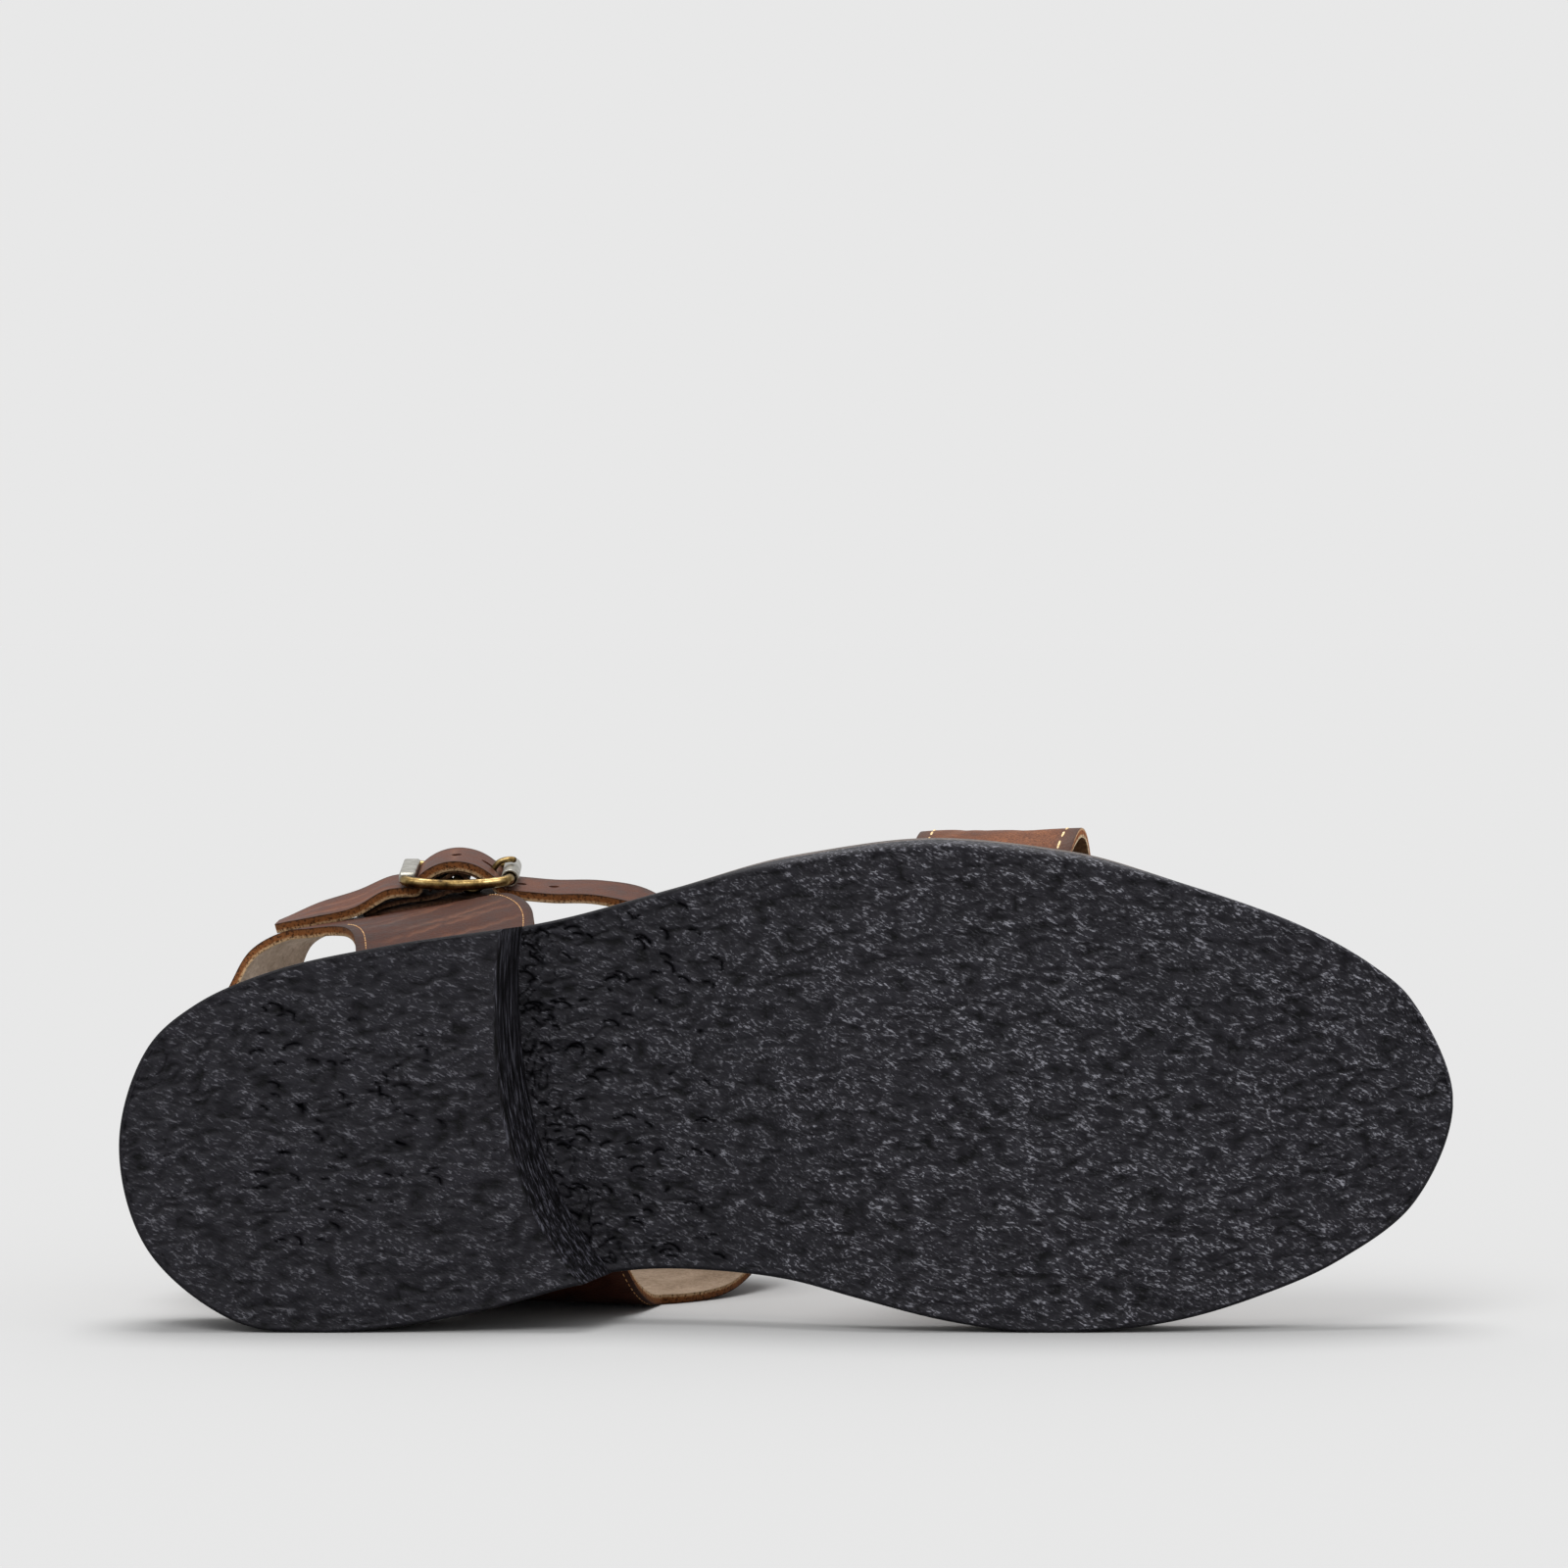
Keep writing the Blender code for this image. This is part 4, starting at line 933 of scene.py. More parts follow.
class BuckleFrame:
    """The buckle's own axes: s along the strap, w across it, t outwards from the foot."""

    def __init__(self):
        lean = math.radians(BUCKLE_LEAN_DEG)
        self.centre = upper_point(*BUCKLE_CENTRE)
        self.along = np.array((1.0, 0.0, 0.0))
        self.across = np.array((0.0, -math.sin(lean), math.cos(lean)))
        self.out = np.array((0.0, -math.cos(lean), -math.sin(lean)))

    def point(self, s, w, t):
        return self.centre + s * self.along + w * self.across + t * self.out

    def matrix(self):
        columns = np.stack((self.along, self.across, self.out, self.centre), axis=1)
        return Matrix([list(row) for row in columns] + [[0.0, 0.0, 0.0, 1.0]])


def threading():
    """The strap's way through the buckle: place along it and height of its middle."""
    half = BUCKLE_LENGTH / 2
    roll = ROLLER_RADIUS + CLEARANCE + LEATHER / 2 + CLEARANCE / 2
    under_flat = -(BUCKLE_WIRE + CLEARANCE + LEATHER / 2 + CLEARANCE / 2)
    flat_edge = -half - BUCKLE_WIRE + FLAT_BAR
    way = [(half + run, -roll - depth) for run, depth in STRAP_LEAD_IN]
    for degrees in ROLLER_WRAP_DEG:
        turn = math.radians(degrees)
        way.append((half + roll * math.sin(turn), -roll * math.cos(turn)))
    way += BAR_ARCH
    way.append((flat_edge + STRAP_DIP[0], under_flat + STRAP_DIP[1]))
    way += [(-half - run, under_flat - depth) for run, depth in STRAP_LEAD_OUT]
    return way


def strap_rails():
    """Lower and upper edge of the whole strap, sampled alike."""
    buckle = BuckleFrame()
    lower, upper = [], []
    for height in (0.0, LEATHER):
        lower.append(strap_foot(LATERAL_QUARTER[0], "lateral", height))
        upper.append(strap_foot(LATERAL_QUARTER[1], "lateral", height))
    for row in ANKLE_STRAP:
        lower.append(upper_point(*row[:3]))
        upper.append(upper_point(*row[3:]))
    for s, t in threading():
        lower.append(buckle.point(s, -STRAP_WIDTH / 2, t))
        upper.append(buckle.point(s, STRAP_WIDTH / 2, t))
    for row in STRAP_END:
        lower.append(upper_point(*row[:3]))
        upper.append(upper_point(*row[3:]))
    return smooth_curve(lower, SPAN_STEPS), smooth_curve(upper, SPAN_STEPS)


def sheet_normals(rows):
    """Unit normals of a sheet of rows of points."""
    along = np.gradient(rows, axis=0)
    across = np.gradient(rows, axis=1)
    return unit(np.cross(across, along))


def crease_field(rows, creases):
    """Depth of listed creases over a sheet.

    Each crease: first row share and column share, last ones, width and depth in metres.
    """
    last_row, last_column = rows.shape[0] - 1, rows.shape[1] - 1
    depth = np.zeros(rows.shape[:2])
    steps = np.linspace(0.0, 1.0, 24)
    for row_0, column_0, row_1, column_1, width, deep in creases:
        bend = 0.04 * np.sin(np.pi * steps)
        r = np.clip((row_0 + (row_1 - row_0) * steps) * last_row, 0, last_row)
        c = np.clip((column_0 + (column_1 - column_0) * steps + bend) * last_column, 0, last_column)
        line = rows[np.rint(r).astype(int), np.rint(c).astype(int)]
        gaps = np.linalg.norm(rows[:, :, None, :] - line[None, None], axis=-1)
        taper = np.sin(np.pi * (gaps.argmin(axis=-1) + 0.5) / len(steps)) ** 0.7
        depth = np.maximum(depth, deep * taper * np.exp(-(gaps.min(axis=-1) / width) ** 2))
    return depth


def edge_distance(rows):
    """Distance of each point of a sheet from its nearer long edge."""
    steps = np.linalg.norm(np.diff(rows, axis=1), axis=-1)
    run = np.concatenate((np.zeros((len(rows), 1)), np.cumsum(steps, axis=1)), axis=1)
    return np.minimum(run, run[:, -1:] - run)


def give_thickness(item, thickness, bevel, sides):
    """Turn the sheet into a wall, with its own sides and a rounded cut edge."""
    give_materials(item, *sides)
    outer = len(item.data.vertices)
    apply_modifier(
        item, "SOLIDIFY", thickness=thickness, offset=0.0, use_even_offset=True,
        material_offset=1, material_offset_rim=2,
    )
    set_attributes(item, depth=np.arange(len(item.data.vertices)) >= outer)
    apply_modifier(
        item, "BEVEL", width=bevel, segments=2, limit_method="ANGLE",
        angle_limit=math.radians(50.0),
    )


def stitches(name, line, normals, pitch, radius):
    """A run of stitches: one capsule, copied along the line, each end dipping in."""
    run = np.concatenate(((0.0,), np.cumsum(np.linalg.norm(np.diff(line, axis=0), axis=1))))
    count = max(1, int(run[-1] / pitch))
    pitch = run[-1] / count
    item = primitive(
        name, bpy.ops.mesh.primitive_uv_sphere_add, segments=8, ring_count=8, radius=1.0,
    )
    capsule = get_points(item)
    faces = [list(face.vertices) for face in item.data.polygons]
    points, polygons = [], []
    for number in range(count):
        start, up, stop = (
            np.array([np.interp((number + share) * pitch, run, source[:, axis]) for axis in range(3)])
            for share, source in ((STITCH_GAP, line), (0.5, normals), (1.0 - STITCH_GAP, line))
        )
        half = np.linalg.norm(stop - start) / 2
        along = unit(stop - start)
        side = unit(np.cross(up, along))
        length = np.sign(capsule[:, 2]) * np.abs(capsule[:, 2]) ** 0.55 * half
        dip = radius * 0.7 * (np.abs(length) / half) ** 3
        own = (start + stop) / 2 + np.outer(length, along) + np.outer(capsule[:, 0] * radius, side)
        own += np.outer(radius * (0.8 * capsule[:, 1] + 0.25) - dip, np.cross(along, side))
        polygons += [[number * len(capsule) + index for index in face] for face in faces]
        points.append(own)
    item.data = bpy.data.meshes.new(name)
    item.data.from_pydata(np.vstack(points).tolist(), [], polygons)
    return item


def join(items, name):
    pick(*items)
    bpy.ops.object.join()
    items[0].name = name
    return items[0]


def clean(item, threshold):
    """Merge doubled points and turn the faces one way."""
    pick(item)
    bpy.ops.object.mode_set(mode="EDIT")
    bpy.ops.mesh.select_all(action="SELECT")
    bpy.ops.mesh.remove_doubles(threshold=threshold)
    bpy.ops.mesh.normals_make_consistent(inside=False)
    bpy.ops.object.mode_set(mode="OBJECT")


def merge_and_face(item, point, outward):
    """Merge doubled points and turn the sheet's faces to its outer side."""
    clean(item, 2e-6)
    nearest = min(item.data.polygons, key=lambda face: (face.center - Vector(point)).length)
    if nearest.normal.dot(Vector(outward)) < 0.0:
        item.data.flip_normals()


# Creases of the ankle strap, over its whole run from the lateral quarter to its free end:
# row share, column share, to row share, column share, width, depth
STRAP_CREASES = (
    (0.052, 0.10, 0.100, 0.92, 0.0011, 0.00042), (0.062, 0.06, 0.086, 0.66, 0.0009, 0.00030),
    (0.040, 0.22, 0.070, 0.95, 0.0010, 0.00036), (0.030, 0.12, 0.052, 0.80, 0.0009, 0.00032),
    (0.080, 0.30, 0.112, 0.94, 0.0012, 0.00040), (0.095, 0.05, 0.130, 0.70, 0.0010, 0.00034),
    (0.046, 0.40, 0.058, 0.98, 0.0007, 0.00026), (0.024, 0.35, 0.040, 0.97, 0.0008, 0.00028),
    (0.165, 0.10, 0.172, 0.85, 0.0010, 0.00022), (0.215, 0.15, 0.208, 0.90, 0.0010, 0.00020),
    (0.262, 0.05, 0.268, 0.80, 0.0011, 0.00022), (0.470, 0.20, 0.478, 0.95, 0.0011, 0.00026),
    (0.495, 0.10, 0.488, 0.85, 0.0010, 0.00028), (0.525, 0.25, 0.535, 0.98, 0.0010, 0.00026),
    (0.560, 0.05, 0.552, 0.75, 0.0011, 0.00022), (0.770, 0.05, 0.766, 0.95, 0.0008, 0.00022),
    (0.812, 0.05, 0.815, 0.95, 0.0007, 0.00018), (0.850, 0.05, 0.848, 0.95, 0.0007, 0.00018),
    (0.905, 0.10, 0.985, 0.30, 0.0010, 0.00016), (0.915, 0.55, 0.990, 0.62, 0.0010, 0.00014),
)
# How much painted shade darkens the strap, over its rows from the lateral quarter to its free end
STRAP_PAINTED_SHADE = ((0, 1.0), (5, 1.0), (7, 0.1), (12, 0.0), (16, 0.8), (26, 0.9), (31, 0.2), (34, 0.0))
BAND_CREASES = (
    (0.10, 0.10, 0.30, 0.35, 0.0013, 0.00020), (0.16, 0.55, 0.36, 0.80, 0.0012, 0.00018),
    (0.72, 0.20, 0.92, 0.45, 0.0013, 0.00024), (0.70, 0.60, 0.90, 0.88, 0.0013, 0.00022),
    (0.40, 0.30, 0.62, 0.38, 0.0015, 0.00016),
)


def build_ankle_strap(leathers, thread):
    """Quarters, heel strap and instep strap as one wall of leather, with its stitching."""
    lower, upper = strap_rails()
    shares = np.linspace(0.0, 1.0, STRAP_COLUMNS + 1)
    rows = lower[:, None] + (upper - lower)[:, None] * shares[None, :, None]
    first, last = ((row + 2) * SPAN_STEPS for row in QUARTER_ROWS)
    normals = sheet_normals(rows)
    # A place on the lateral quarter, whose outer side faces away from the foot
    station, middle = 6 * SPAN_STEPS, STRAP_COLUMNS // 2
    if normals[station, middle, 1] > 0.0:
        normals = -normals
    depth = crease_field(rows, STRAP_CREASES)
    # The creases stop short of the lower edge where the medial quarter hangs from it
    sunk = rows - normals * depth[..., None]
    sunk[first:last + 1, 0] = rows[first:last + 1, 0]
    sheet, row, column = add_sheet("ankle_strap_leather", sunk)
    margin = np.clip(1.0 - edge_distance(rows) / STRAP_MARGIN, 0.0, 1.0) * 0.75
    margin[first:last + 1, :middle] = 0.0
    crease = np.clip(depth * 2200.0, 0.0, 0.85)
    # Painted shade: most on the lateral quarter under the strap and on the medial side and instep
    painted_shade = np.interp(np.arange(len(rows)) / SPAN_STEPS, *zip(*STRAP_PAINTED_SHADE))
    set_attributes(sheet, margin=margin[row, column], crease=crease[row, column], shade=painted_shade[row])

    down = np.linspace(0.0, 1.0, 30)
    along = np.linspace(MEDIAL_QUARTER[0], MEDIAL_QUARTER[1], last - first + 1)
    hung = np.zeros((len(down) + 1, last - first + 1, 3))
    for place, (top, share) in enumerate(zip(sunk[first:last + 1, 0], along)):
        foot = strap_foot(share, "medial", LEATHER)
        belly = np.array(
            ((top[0] + foot[0]) / 2, top[1], foot[2] + QUARTER_BELLY * (top[2] - foot[2]))
        )
        d = down[:, None]
        hung[:-1, place] = (1 - d) ** 2 * top + 2 * d * (1 - d) * belly + d ** 2 * foot
        hung[-1, place] = strap_foot(share, "medial")
    quarter, quarter_row, quarter_column = add_sheet("medial_quarter", hung)
    margin = np.clip(1.0 - edge_distance(hung) / STRAP_MARGIN, 0.0, 1.0) * 0.75
    # The medial quarter lies in shade, so it gets full painted shade
    set_attributes(quarter, margin=margin[quarter_row, quarter_column], crease=0.0, shade=1.0)
    item = join((sheet, quarter), "ankle_strap_leather")
    merge_and_face(item, rows[station, middle], normals[station, middle])
    give_thickness(item, LEATHER, CUT_BEVEL, leathers)
    for number, step in enumerate((-1, 0, 1, 2)):
        place = PRONG_HOLE * BUCKLE_LENGTH / 2 + step * HOLE_SPACING
        punch(item, f"punch_{number}", place, 1.0 if step else 1.5)
    lay_down(item, ("ankle_strap",))

    # Two seams follow the lateral quarter's edges, up to where the strap hides them
    seams = []
    for name, side, end in (("rear", 0, 4.2), ("front", 1, 4.5)):
        rise = upper - lower
        share = QUARTER_INSET / np.linalg.norm(rise, axis=1)
        share = 1.0 - share if side else share
        up = normals[np.arange(len(rows)), np.rint(share * STRAP_COLUMNS).astype(int)]
        line = lower + rise * share[:, None] + up * (LEATHER / 2)
        seen = slice(SPAN_STEPS // 2, int(end * SPAN_STEPS))
        seams.append(stitches(
            f"quarter_seam_{name}", line[seen], up[seen], QUARTER_PITCH, QUARTER_THREAD,
        ))
    # The medial quarter's seams keep off its top and its foot
    up = sheet_normals(hung)
    if up[10, 5, 1] < 0.0:
        up = -up
    inset = int(round(QUARTER_INSET / np.linalg.norm(hung[10, 1] - hung[10, 0])))
    for name, at in (("rear", inset), ("front", hung.shape[1] - 1 - inset)):
        line = hung[3:-2, at] + up[3:-2, at] * (LEATHER / 2)
        seams.append(stitches(
            f"medial_seam_{name}", line, up[3:-2, at], QUARTER_PITCH, QUARTER_THREAD,
        ))
    lay_down(join(seams, "quarter_stitching"), (), thread)


def punch(item, name, s, stretch):
    """Cut a hole through the strap with a round or oblong punch."""
    cutter = primitive(
        name, bpy.ops.mesh.primitive_cylinder_add,
        vertices=24, radius=PUNCHED_HOLE / 2, depth=0.012,
    )
    cutter.data.transform(Matrix.Diagonal((stretch, 1.0, 1.0, 1.0)))
    cutter.data.transform(BuckleFrame().matrix() @ Matrix.Translation((s, 0.0, 0.0)))
    combine(item, cutter, "DIFFERENCE")


def build_toe_band(leathers, thread):
    """Broad band over the toes, with a seam inside each long edge."""
    section = smooth_curve(TOE_BAND_SECTION, BAND_STEPS)
    part = np.linspace(0.0, 1.0, BAND_COLUMNS + 1)
    rows = np.zeros((len(section), len(part), 3))
    for column, share in enumerate(part):
        lateral = strap_foot(np.interp(share, (0, 1), TOE_BAND_LATERAL), "lateral")
        medial = strap_foot(np.interp(share, (0, 1), TOE_BAND_MEDIAL), "medial")
        rise = np.interp(share, (0, 1), (TOE_BAND_RISE_REAR, TOE_BAND_RISE_FRONT))
        swell = np.interp(share, *TOE_BAND_SWELL)
        for place, (across, height) in enumerate(section):
            progress = place / (len(section) - 1)
            point = lateral + (medial - lateral) * across * (swell if across < 0 else 1.0)
            point[0] = lateral[0] + (medial[0] - lateral[0]) * progress ** 0.72
            point[2] += rise * height
            rows[place, column] = point
    normals = sheet_normals(rows)
    crown, middle = len(section) // 2, BAND_COLUMNS // 2
    if normals[crown, middle, 2] < 0.0:
        normals = -normals
    depth = crease_field(rows, BAND_CREASES)
    item, row, column = add_sheet("toe_band_leather", rows - normals * depth[..., None])
    away = edge_distance(rows)
    margin = np.clip(1.0 - away / BAND_MARGIN, 0.0, 1.0)
    crease = np.clip(depth * 1200.0, 0.0, 0.3)
    set_attributes(item, margin=(0.9 * margin ** 0.6)[row, column], crease=crease[row, column])
    merge_and_face(item, rows[crown, middle], normals[crown, middle])
    give_thickness(item, LEATHER, CUT_BEVEL, leathers)
    lay_down(item, ("toe_band",))
    seams = []
    for name, side in (("rear", 0), ("front", 1)):
        line, up = [], []
        for place in range(4, len(section) - 4):
            inside = np.interp(BAND_INSET, away[place, :middle], np.arange(middle))
            at = BAND_COLUMNS - inside if side else inside
            near = int(at)
            start, stop = rows[place, near:near + 2]
            spot = start + (stop - start) * (at - near)
            line.append(spot + normals[place, near] * (LEATHER / 2))
            up.append(normals[place, near])
        seams.append(stitches(
            f"band_seam_{name}", np.array(line), np.array(up), BAND_PITCH, BAND_THREAD,
        ))
    lay_down(join(seams, "toe_band_stitching"), (), thread)


def chape_strip(name, path, width, thickness, leathers):
    """A strip of leather along a path of the buckle's s and t, with frayed edges."""
    buckle = BuckleFrame()
    path = smooth_curve(path, 8)
    widths = np.linspace(-0.5, 0.5, 25)
    rows = np.zeros((len(path), len(widths), 3))
    for place, (s, t) in enumerate(path):
        for column, share in enumerate(widths):
            fray = CHAPE_FRAY * noise.noise(Vector((s / 0.0009, t / 0.0009, share * 9.0)))
            fray = fray if abs(share) > 0.44 else 0.0
            rows[place, column] = buckle.point(s, width * share + fray, t)
    item, row, column = add_sheet(name, rows)
    margin = np.clip(1.0 - edge_distance(rows) / CHAPE_MARGIN, 0.0, 1.0)
    set_attributes(item, margin=margin[row, column], crease=0.0, shade=0.0)
    middle = len(widths) // 2
    fold = len(path) // 3
    along = rows[fold + 1, middle] - rows[fold, middle]
    merge_and_face(item, rows[fold, middle], unit(np.cross(buckle.across, along)))
    give_thickness(item, thickness, 0.0002, leathers)
    return item


def build_chape(leathers):
    """Strip folded round the centre bar, with a slot for the prong, on its backing strip."""
    buckle = BuckleFrame()
    half = BUCKLE_LENGTH / 2
    radius = BUCKLE_WIRE + CLEARANCE + CHAPE_LEATHER / 2
    bar = -BUCKLE_BOW
    path = [(share * half, bar + height) for share, height in CHAPE_UPPER_FOLD]
    for degrees in range(110, -111, -20):
        turn = math.radians(degrees)
        path.append((radius * math.cos(turn), bar + radius * math.sin(turn)))
    path += [(share * half, bar + height) for share, height in CHAPE_LOWER_FOLD]
    item = chape_strip("folded_chape", path, CHAPE_WIDTH, CHAPE_LEATHER, leathers)
    cutter = primitive("prong_slot", bpy.ops.mesh.primitive_cube_add, size=1.0)
    size = Matrix.Diagonal((*PRONG_SLOT, 1.0))
    cutter.data.transform(buckle.matrix() @ Matrix.Translation((0.0006, 0.0, bar)) @ size)
    combine(item, cutter, "DIFFERENCE")
    backing = chape_strip("chape_backing", CHAPE_BACKING, CHAPE_WIDTH + 0.0012, 0.0013, leathers)
    lining = chape_strip("arch_lining", ARCH_LINING, STRAP_WIDTH - 0.0010, 0.0006, leathers)
    for piece in (item, backing, lining):
        lay_down(piece, ("chape",))


def wire(name, points, radii, closed=False):
    """A round wire through the points, as a mesh. radii holds a radius for each point."""
    curve = bpy.data.curves.new(name, "CURVE")
    curve.dimensions = "3D"
    curve.bevel_depth = 1.0
    curve.bevel_resolution = 4
    curve.use_fill_caps = not closed
    spline = curve.splines.new("POLY")
    spline.points.add(len(points) - 1)
    for target, point, radius in zip(spline.points, points, radii):
        target.co = (*point, 1.0)
        target.radius = radius
    spline.use_cyclic_u = closed
    item = bpy.data.objects.new(name, curve)
    bpy.context.scene.collection.objects.link(item)
    pick(item)
    bpy.ops.object.convert(target="MESH")
    item = bpy.context.object
    clean(item, 1e-7)
    return item


def buckle_ring():
    """The frame's outline as (s, w), with its corners rounded."""
    half_s, half_w = BUCKLE_LENGTH / 2, BUCKLE_WIDTH / 2
    straight_s, straight_w = half_s - BUCKLE_CORNER, half_w - BUCKLE_CORNER
    ring = []
    for side_s, side_w, start in ((1, 1, 0.0), (-1, 1, 90.0), (-1, -1, 180.0), (1, -1, 270.0)):
        for step in range(10):
            turn = math.radians(start + 10.0 * step)
            s = side_s * straight_s + BUCKLE_CORNER * math.cos(turn)
            w = side_w * straight_w + BUCKLE_CORNER * math.sin(turn)
            ring.append((s, w))
        for step in range(1, 12):
            if side_s == side_w:
                ring.append((side_s * straight_s * (1.0 - step / 6), side_w * half_w))
            else:
                ring.append((side_s * half_s, side_w * straight_w * (1.0 - step / 6)))
    return ring


def build_buckle(brass, nickel):
    """Brass frame with its centre bar, flat end bar, hollow roller and prong."""
    buckle = BuckleFrame()
    half_s, reach = BUCKLE_LENGTH / 2, BUCKLE_WIDTH / 2
    points = [
        buckle.point(s, w, -BUCKLE_BOW * (1.0 - (2.0 * s / BUCKLE_LENGTH) ** 2))
        for s, w in buckle_ring()
    ]
    ring = wire("buckle_frame_brass", points, [BUCKLE_WIRE] * len(points), closed=True)
    bar = wire(
        "centre_bar", [buckle.point(0.0, w, -BUCKLE_BOW) for w in np.linspace(-reach, reach, 9)],
        [BUCKLE_WIRE * 0.96] * 9,
    )
    combine(ring, bar, "UNION")
    lay_down(ring, ("buckle_frame",), brass, 50.0)

    flat_bar = primitive("flat_end_bar", bpy.ops.mesh.primitive_cube_add, size=1.0)
    size = (FLAT_BAR, BUCKLE_WIDTH - 1.2 * BUCKLE_CORNER, FLAT_BAR_THICKNESS + 0.0008)
    place = (-half_s + FLAT_BAR / 2 - BUCKLE_WIRE, 0.0, 0.0004)
    flat_bar.data.transform(Matrix.Diagonal((*size, 1.0)))
    apply_modifier(flat_bar, "BEVEL", width=0.0006, segments=4, limit_method="NONE")
    flat_bar.data.transform(buckle.matrix() @ Matrix.Translation(place))
    lay_down(flat_bar, ("buckle_frame",), nickel, 50.0)

    roller = primitive(
        "hollow_roller", bpy.ops.mesh.primitive_cylinder_add,
        vertices=40, radius=ROLLER_RADIUS, depth=ROLLER_LENGTH, end_fill_type="NGON",
    )
    bpy.ops.object.mode_set(mode="EDIT")
    bpy.ops.mesh.select_mode(type="FACE")
    bpy.ops.mesh.select_all(action="DESELECT")
    bpy.ops.object.mode_set(mode="OBJECT")
    for face in roller.data.polygons:
        face.select = abs(face.normal.z) > 0.9
    bpy.ops.object.mode_set(mode="EDIT")
    bpy.ops.mesh.inset(thickness=ROLLER_RADIUS - BUCKLE_WIRE - CLEARANCE, use_individual=True)
    bpy.ops.mesh.bridge_edge_loops()
    bpy.ops.object.mode_set(mode="OBJECT")
    apply_modifier(
        roller, "BEVEL", width=0.00012, segments=2, limit_method="ANGLE",
        angle_limit=math.radians(50.0),
    )
    turn = Matrix.Rotation(math.radians(90.0), 4, "X")
    roller.data.transform(buckle.matrix() @ Matrix.Translation((half_s, 0.0, 0.0)) @ turn)
    lay_down(roller, ("buckle_roller",), nickel, 50.0)

    radius = BUCKLE_WIRE + CLEARANCE + PRONG_WIRE
    path = []
    for degrees in range(20, 196, 25):
        turn = math.radians(degrees)
        path.append((radius * math.cos(turn), -BUCKLE_BOW + radius * math.sin(turn)))
    on_roller = ROLLER_RADIUS + CLEARANCE + PRONG_WIRE
    path += [(share * PRONG_HOLE * half_s, height) for share, height in PRONG_TO_HOLE]
    path += [
        (0.78 * half_s, on_roller - 2 * CLEARANCE), (half_s, on_roller),
        (1.10 * half_s, on_roller - CLEARANCE),
    ]
    curve = smooth_curve(path, 7)
    points = [buckle.point(s, 0.0, t) for s, t in curve]
    radii = [PRONG_WIRE] * len(points)
    # The tip is rounded off over its last 0.6 mm
    for back, share in enumerate((0.45, 0.80, 0.95)):
        radii[-1 - back] = PRONG_WIRE * share
    prong = wire("buckle_tongue", points, radii)
    lay_down(prong, ("buckle_prong",), brass, 50.0)


def build_studio():
    """Pale floor, even sky and two wide soft lamps. The floor's shade meets the sky's."""
    floor = primitive("studio_floor", bpy.ops.mesh.primitive_plane_add, size=80.0)
    grey = (FLOOR_ALBEDO,) * 3 + (1.0,)
    paper, *_ = new_material(
        "pale_paper_floor", Roughness=1.0, Base_Color=grey, Specular_IOR_Level=0.0,
    )
    give_materials(floor, paper)
    sky = linear("#e8e8e8")
    world = bpy.data.worlds.new("even_studio_sky")
    world.use_nodes = True
    world.node_tree.nodes["Background"].inputs["Color"].default_value = sky
    bpy.context.scene.world = world
    # The lit floor then has the sky's own brightness, so no horizon shows
    floor_light = math.pi * sky[0] * (1 / FLOOR_ALBEDO - 1)
    for name, share, height, turn, width in LAMPS:
        lamp = bpy.data.lights.new(name, "SUN")
        lamp.angle = math.radians(width)
        lamp.energy = floor_light * share / abs(math.sin(math.radians(height)))
        item = bpy.data.objects.new(name, lamp)
        item.rotation_euler = (math.radians(90.0 - height), 0.0, math.radians(turn))
        bpy.context.scene.collection.objects.link(item)
    bpy.context.scene.view_settings.view_transform = "Standard"


def build_camera():
    camera = bpy.data.cameras.new("photo_camera")
    camera.sensor_width = 36.0
    camera.angle = 2 * math.atan(VIEW_WIDTH / 2 / CAMERA_DISTANCE)
    item = bpy.data.objects.new("photo_camera", camera)
    item.location = (CAMERA_X, cad_box[0][1] - CAMERA_DISTANCE, CAMERA_Z)
    item.rotation_euler = (math.radians(90.0 - CAMERA_DOWN_DEG), 0.0, 0.0)
    bpy.context.scene.collection.objects.link(item)
    bpy.context.scene.camera = item


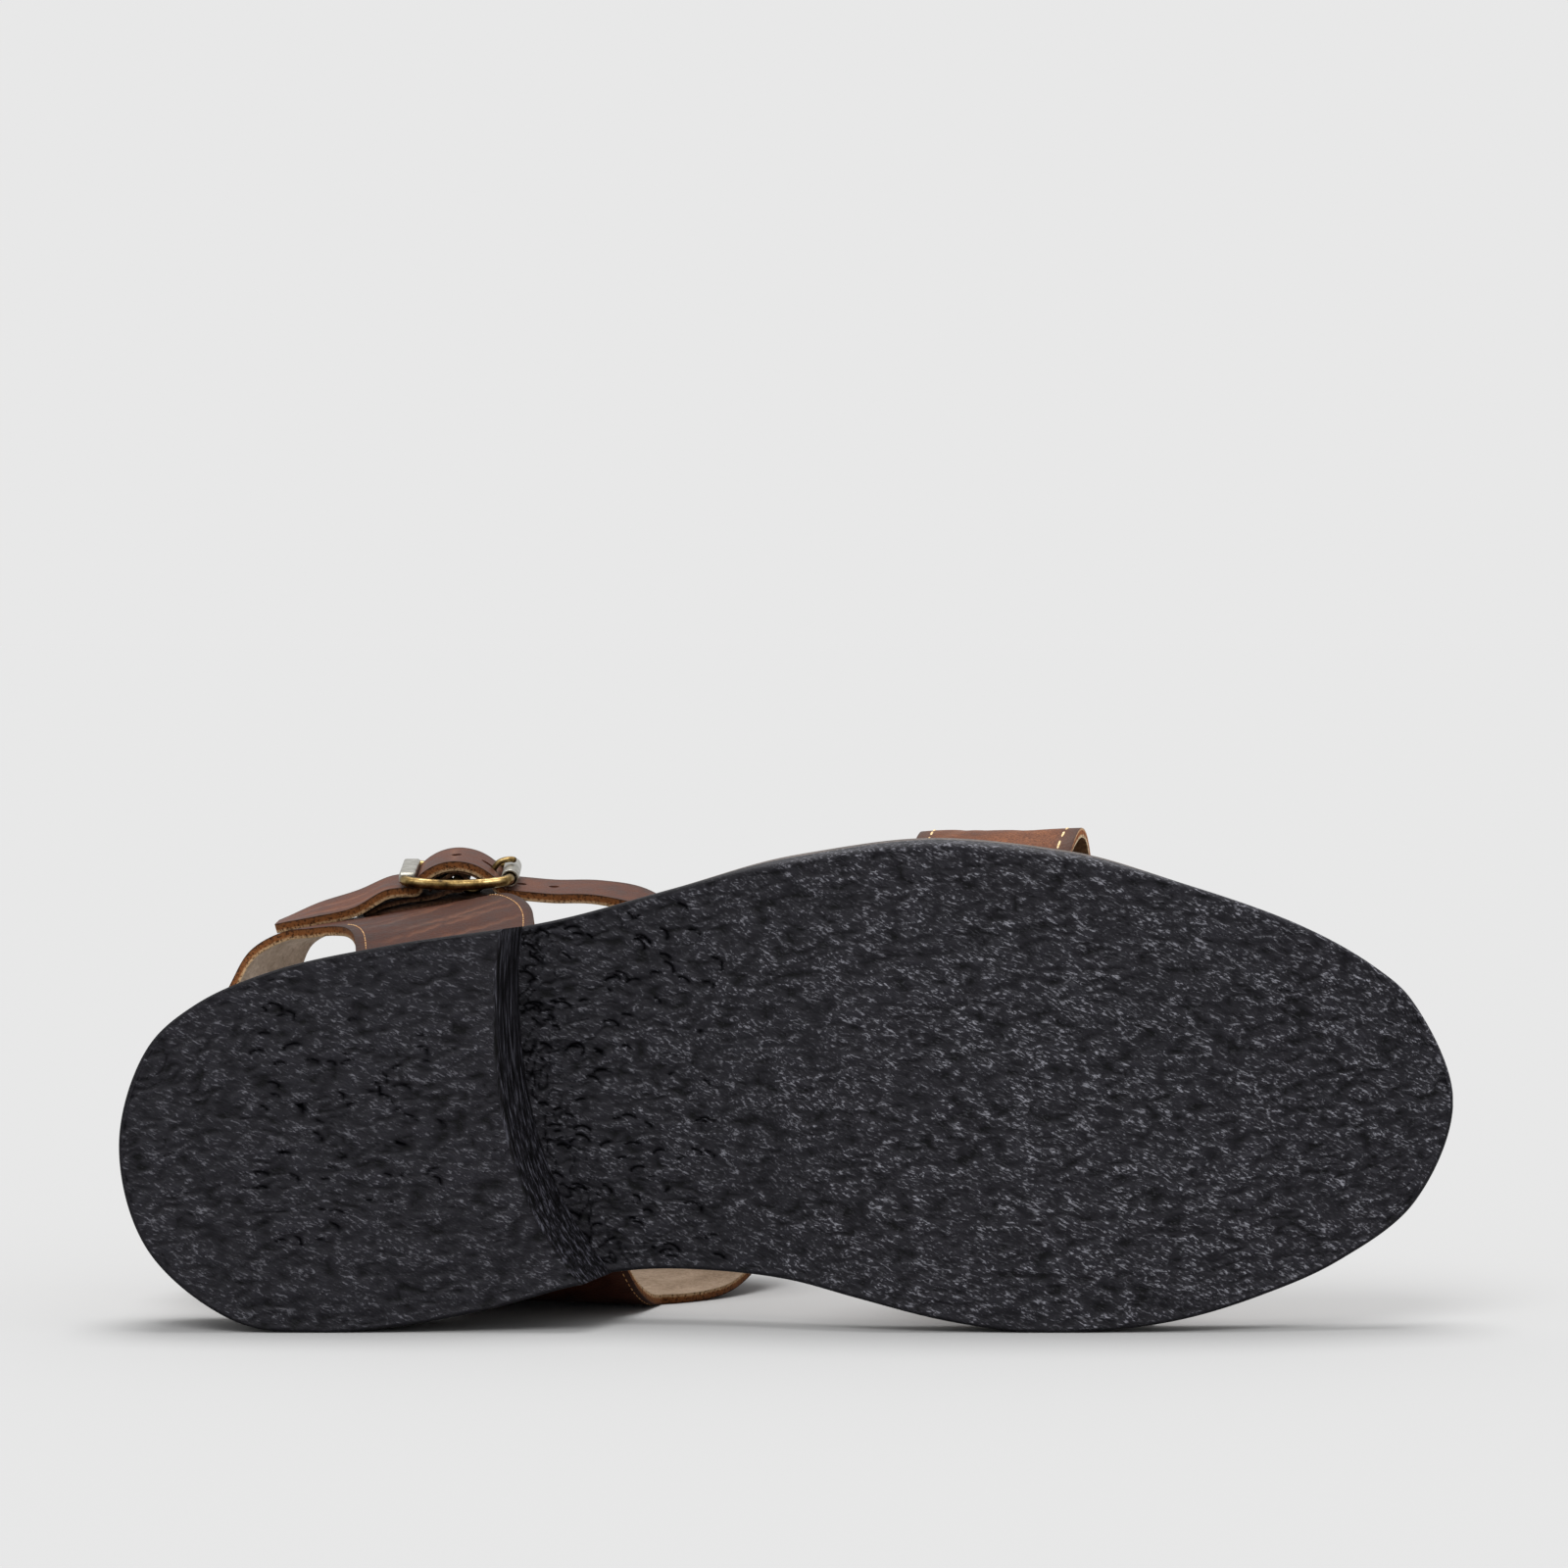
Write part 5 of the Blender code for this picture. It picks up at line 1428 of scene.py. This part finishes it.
crepe = crepe_rubber()
brown = grain_leather(
    "waxed_brown_leather", ("#3a2118", "#543226", "#664030"), "#3a2820", "#855f4b",
    pebble=0.0007, pitting=0.55, roughness=0.50,
)
tan = grain_leather(
    "pebbled_tan_leather", ("#4c2b1b", "#6a402a", "#815338"), "#40302a", "#7f573f",
    pebble=0.0008, pitting=0.95, roughness=0.48,
)
brown_flesh = flesh_leather("brown_strap_flesh", ("#9a8b7c", "#bdaf9f", "#d6c9ba"))
tan_flesh = flesh_leather("toe_band_lining", ("#3a2a1e", "#5a4330", "#7a6045"))
brown_edge = cut_edge(
    "dyed_strap_edge",
    ((0.0, "#2a1a12"), (0.18, "#633d21"), (0.62, "#784a27"), (0.82, "#ab8c69"), (1.0, "#9c8465")),
    "#1c0f08",
)
tan_edge = cut_edge(
    "toe_band_edge",
    ((0.0, "#7a5242"), (0.15, "#d8b58c"), (0.30, "#9c5f3e"), (0.62, "#a5683f"), (0.85, "#f0dab4")),
    "#5a3524",
)
dark = grain_leather(
    "dark_chape_leather", ("#2a1b13", "#402a1e", "#573c2b"), "#2b1c14", "#5a4030",
    pebble=0.0006, pitting=0.8, roughness=0.6,
)
chape_edge = cut_edge(
    "frayed_chape_edge", ((0.0, "#2a1c13"), (0.5, "#54392a"), (1.0, "#7a5f47")), "#100a07",
)
cream_thread = waxed_thread("cream_linen_thread", ("#b18a56", "#dcc08e", "#efdcb4"))
ochre_thread = waxed_thread("ochre_linen_thread", ("#7d5330", "#b58654", "#d8b17c"))
brass = metal("antique_brass", ("#382c1b", "#6b5734", "#a08a5e"), 0.36, 0.08)
nickel = metal("satin_nickel", ("#7f7c74", "#9b988f", "#b5b2a9"), 0.34, 0.03)

build_outsole(crepe)
build_heel(crepe)
build_midsole(midsole_rubber())
build_footbed(footbed_leather())
build_toe_band((tan, tan_flesh, tan_edge), cream_thread)
build_ankle_strap((brown, brown_flesh, brown_edge), ochre_thread)
build_chape((dark, dark, chape_edge))
build_buckle(brass, nickel)
build_studio()
build_camera()
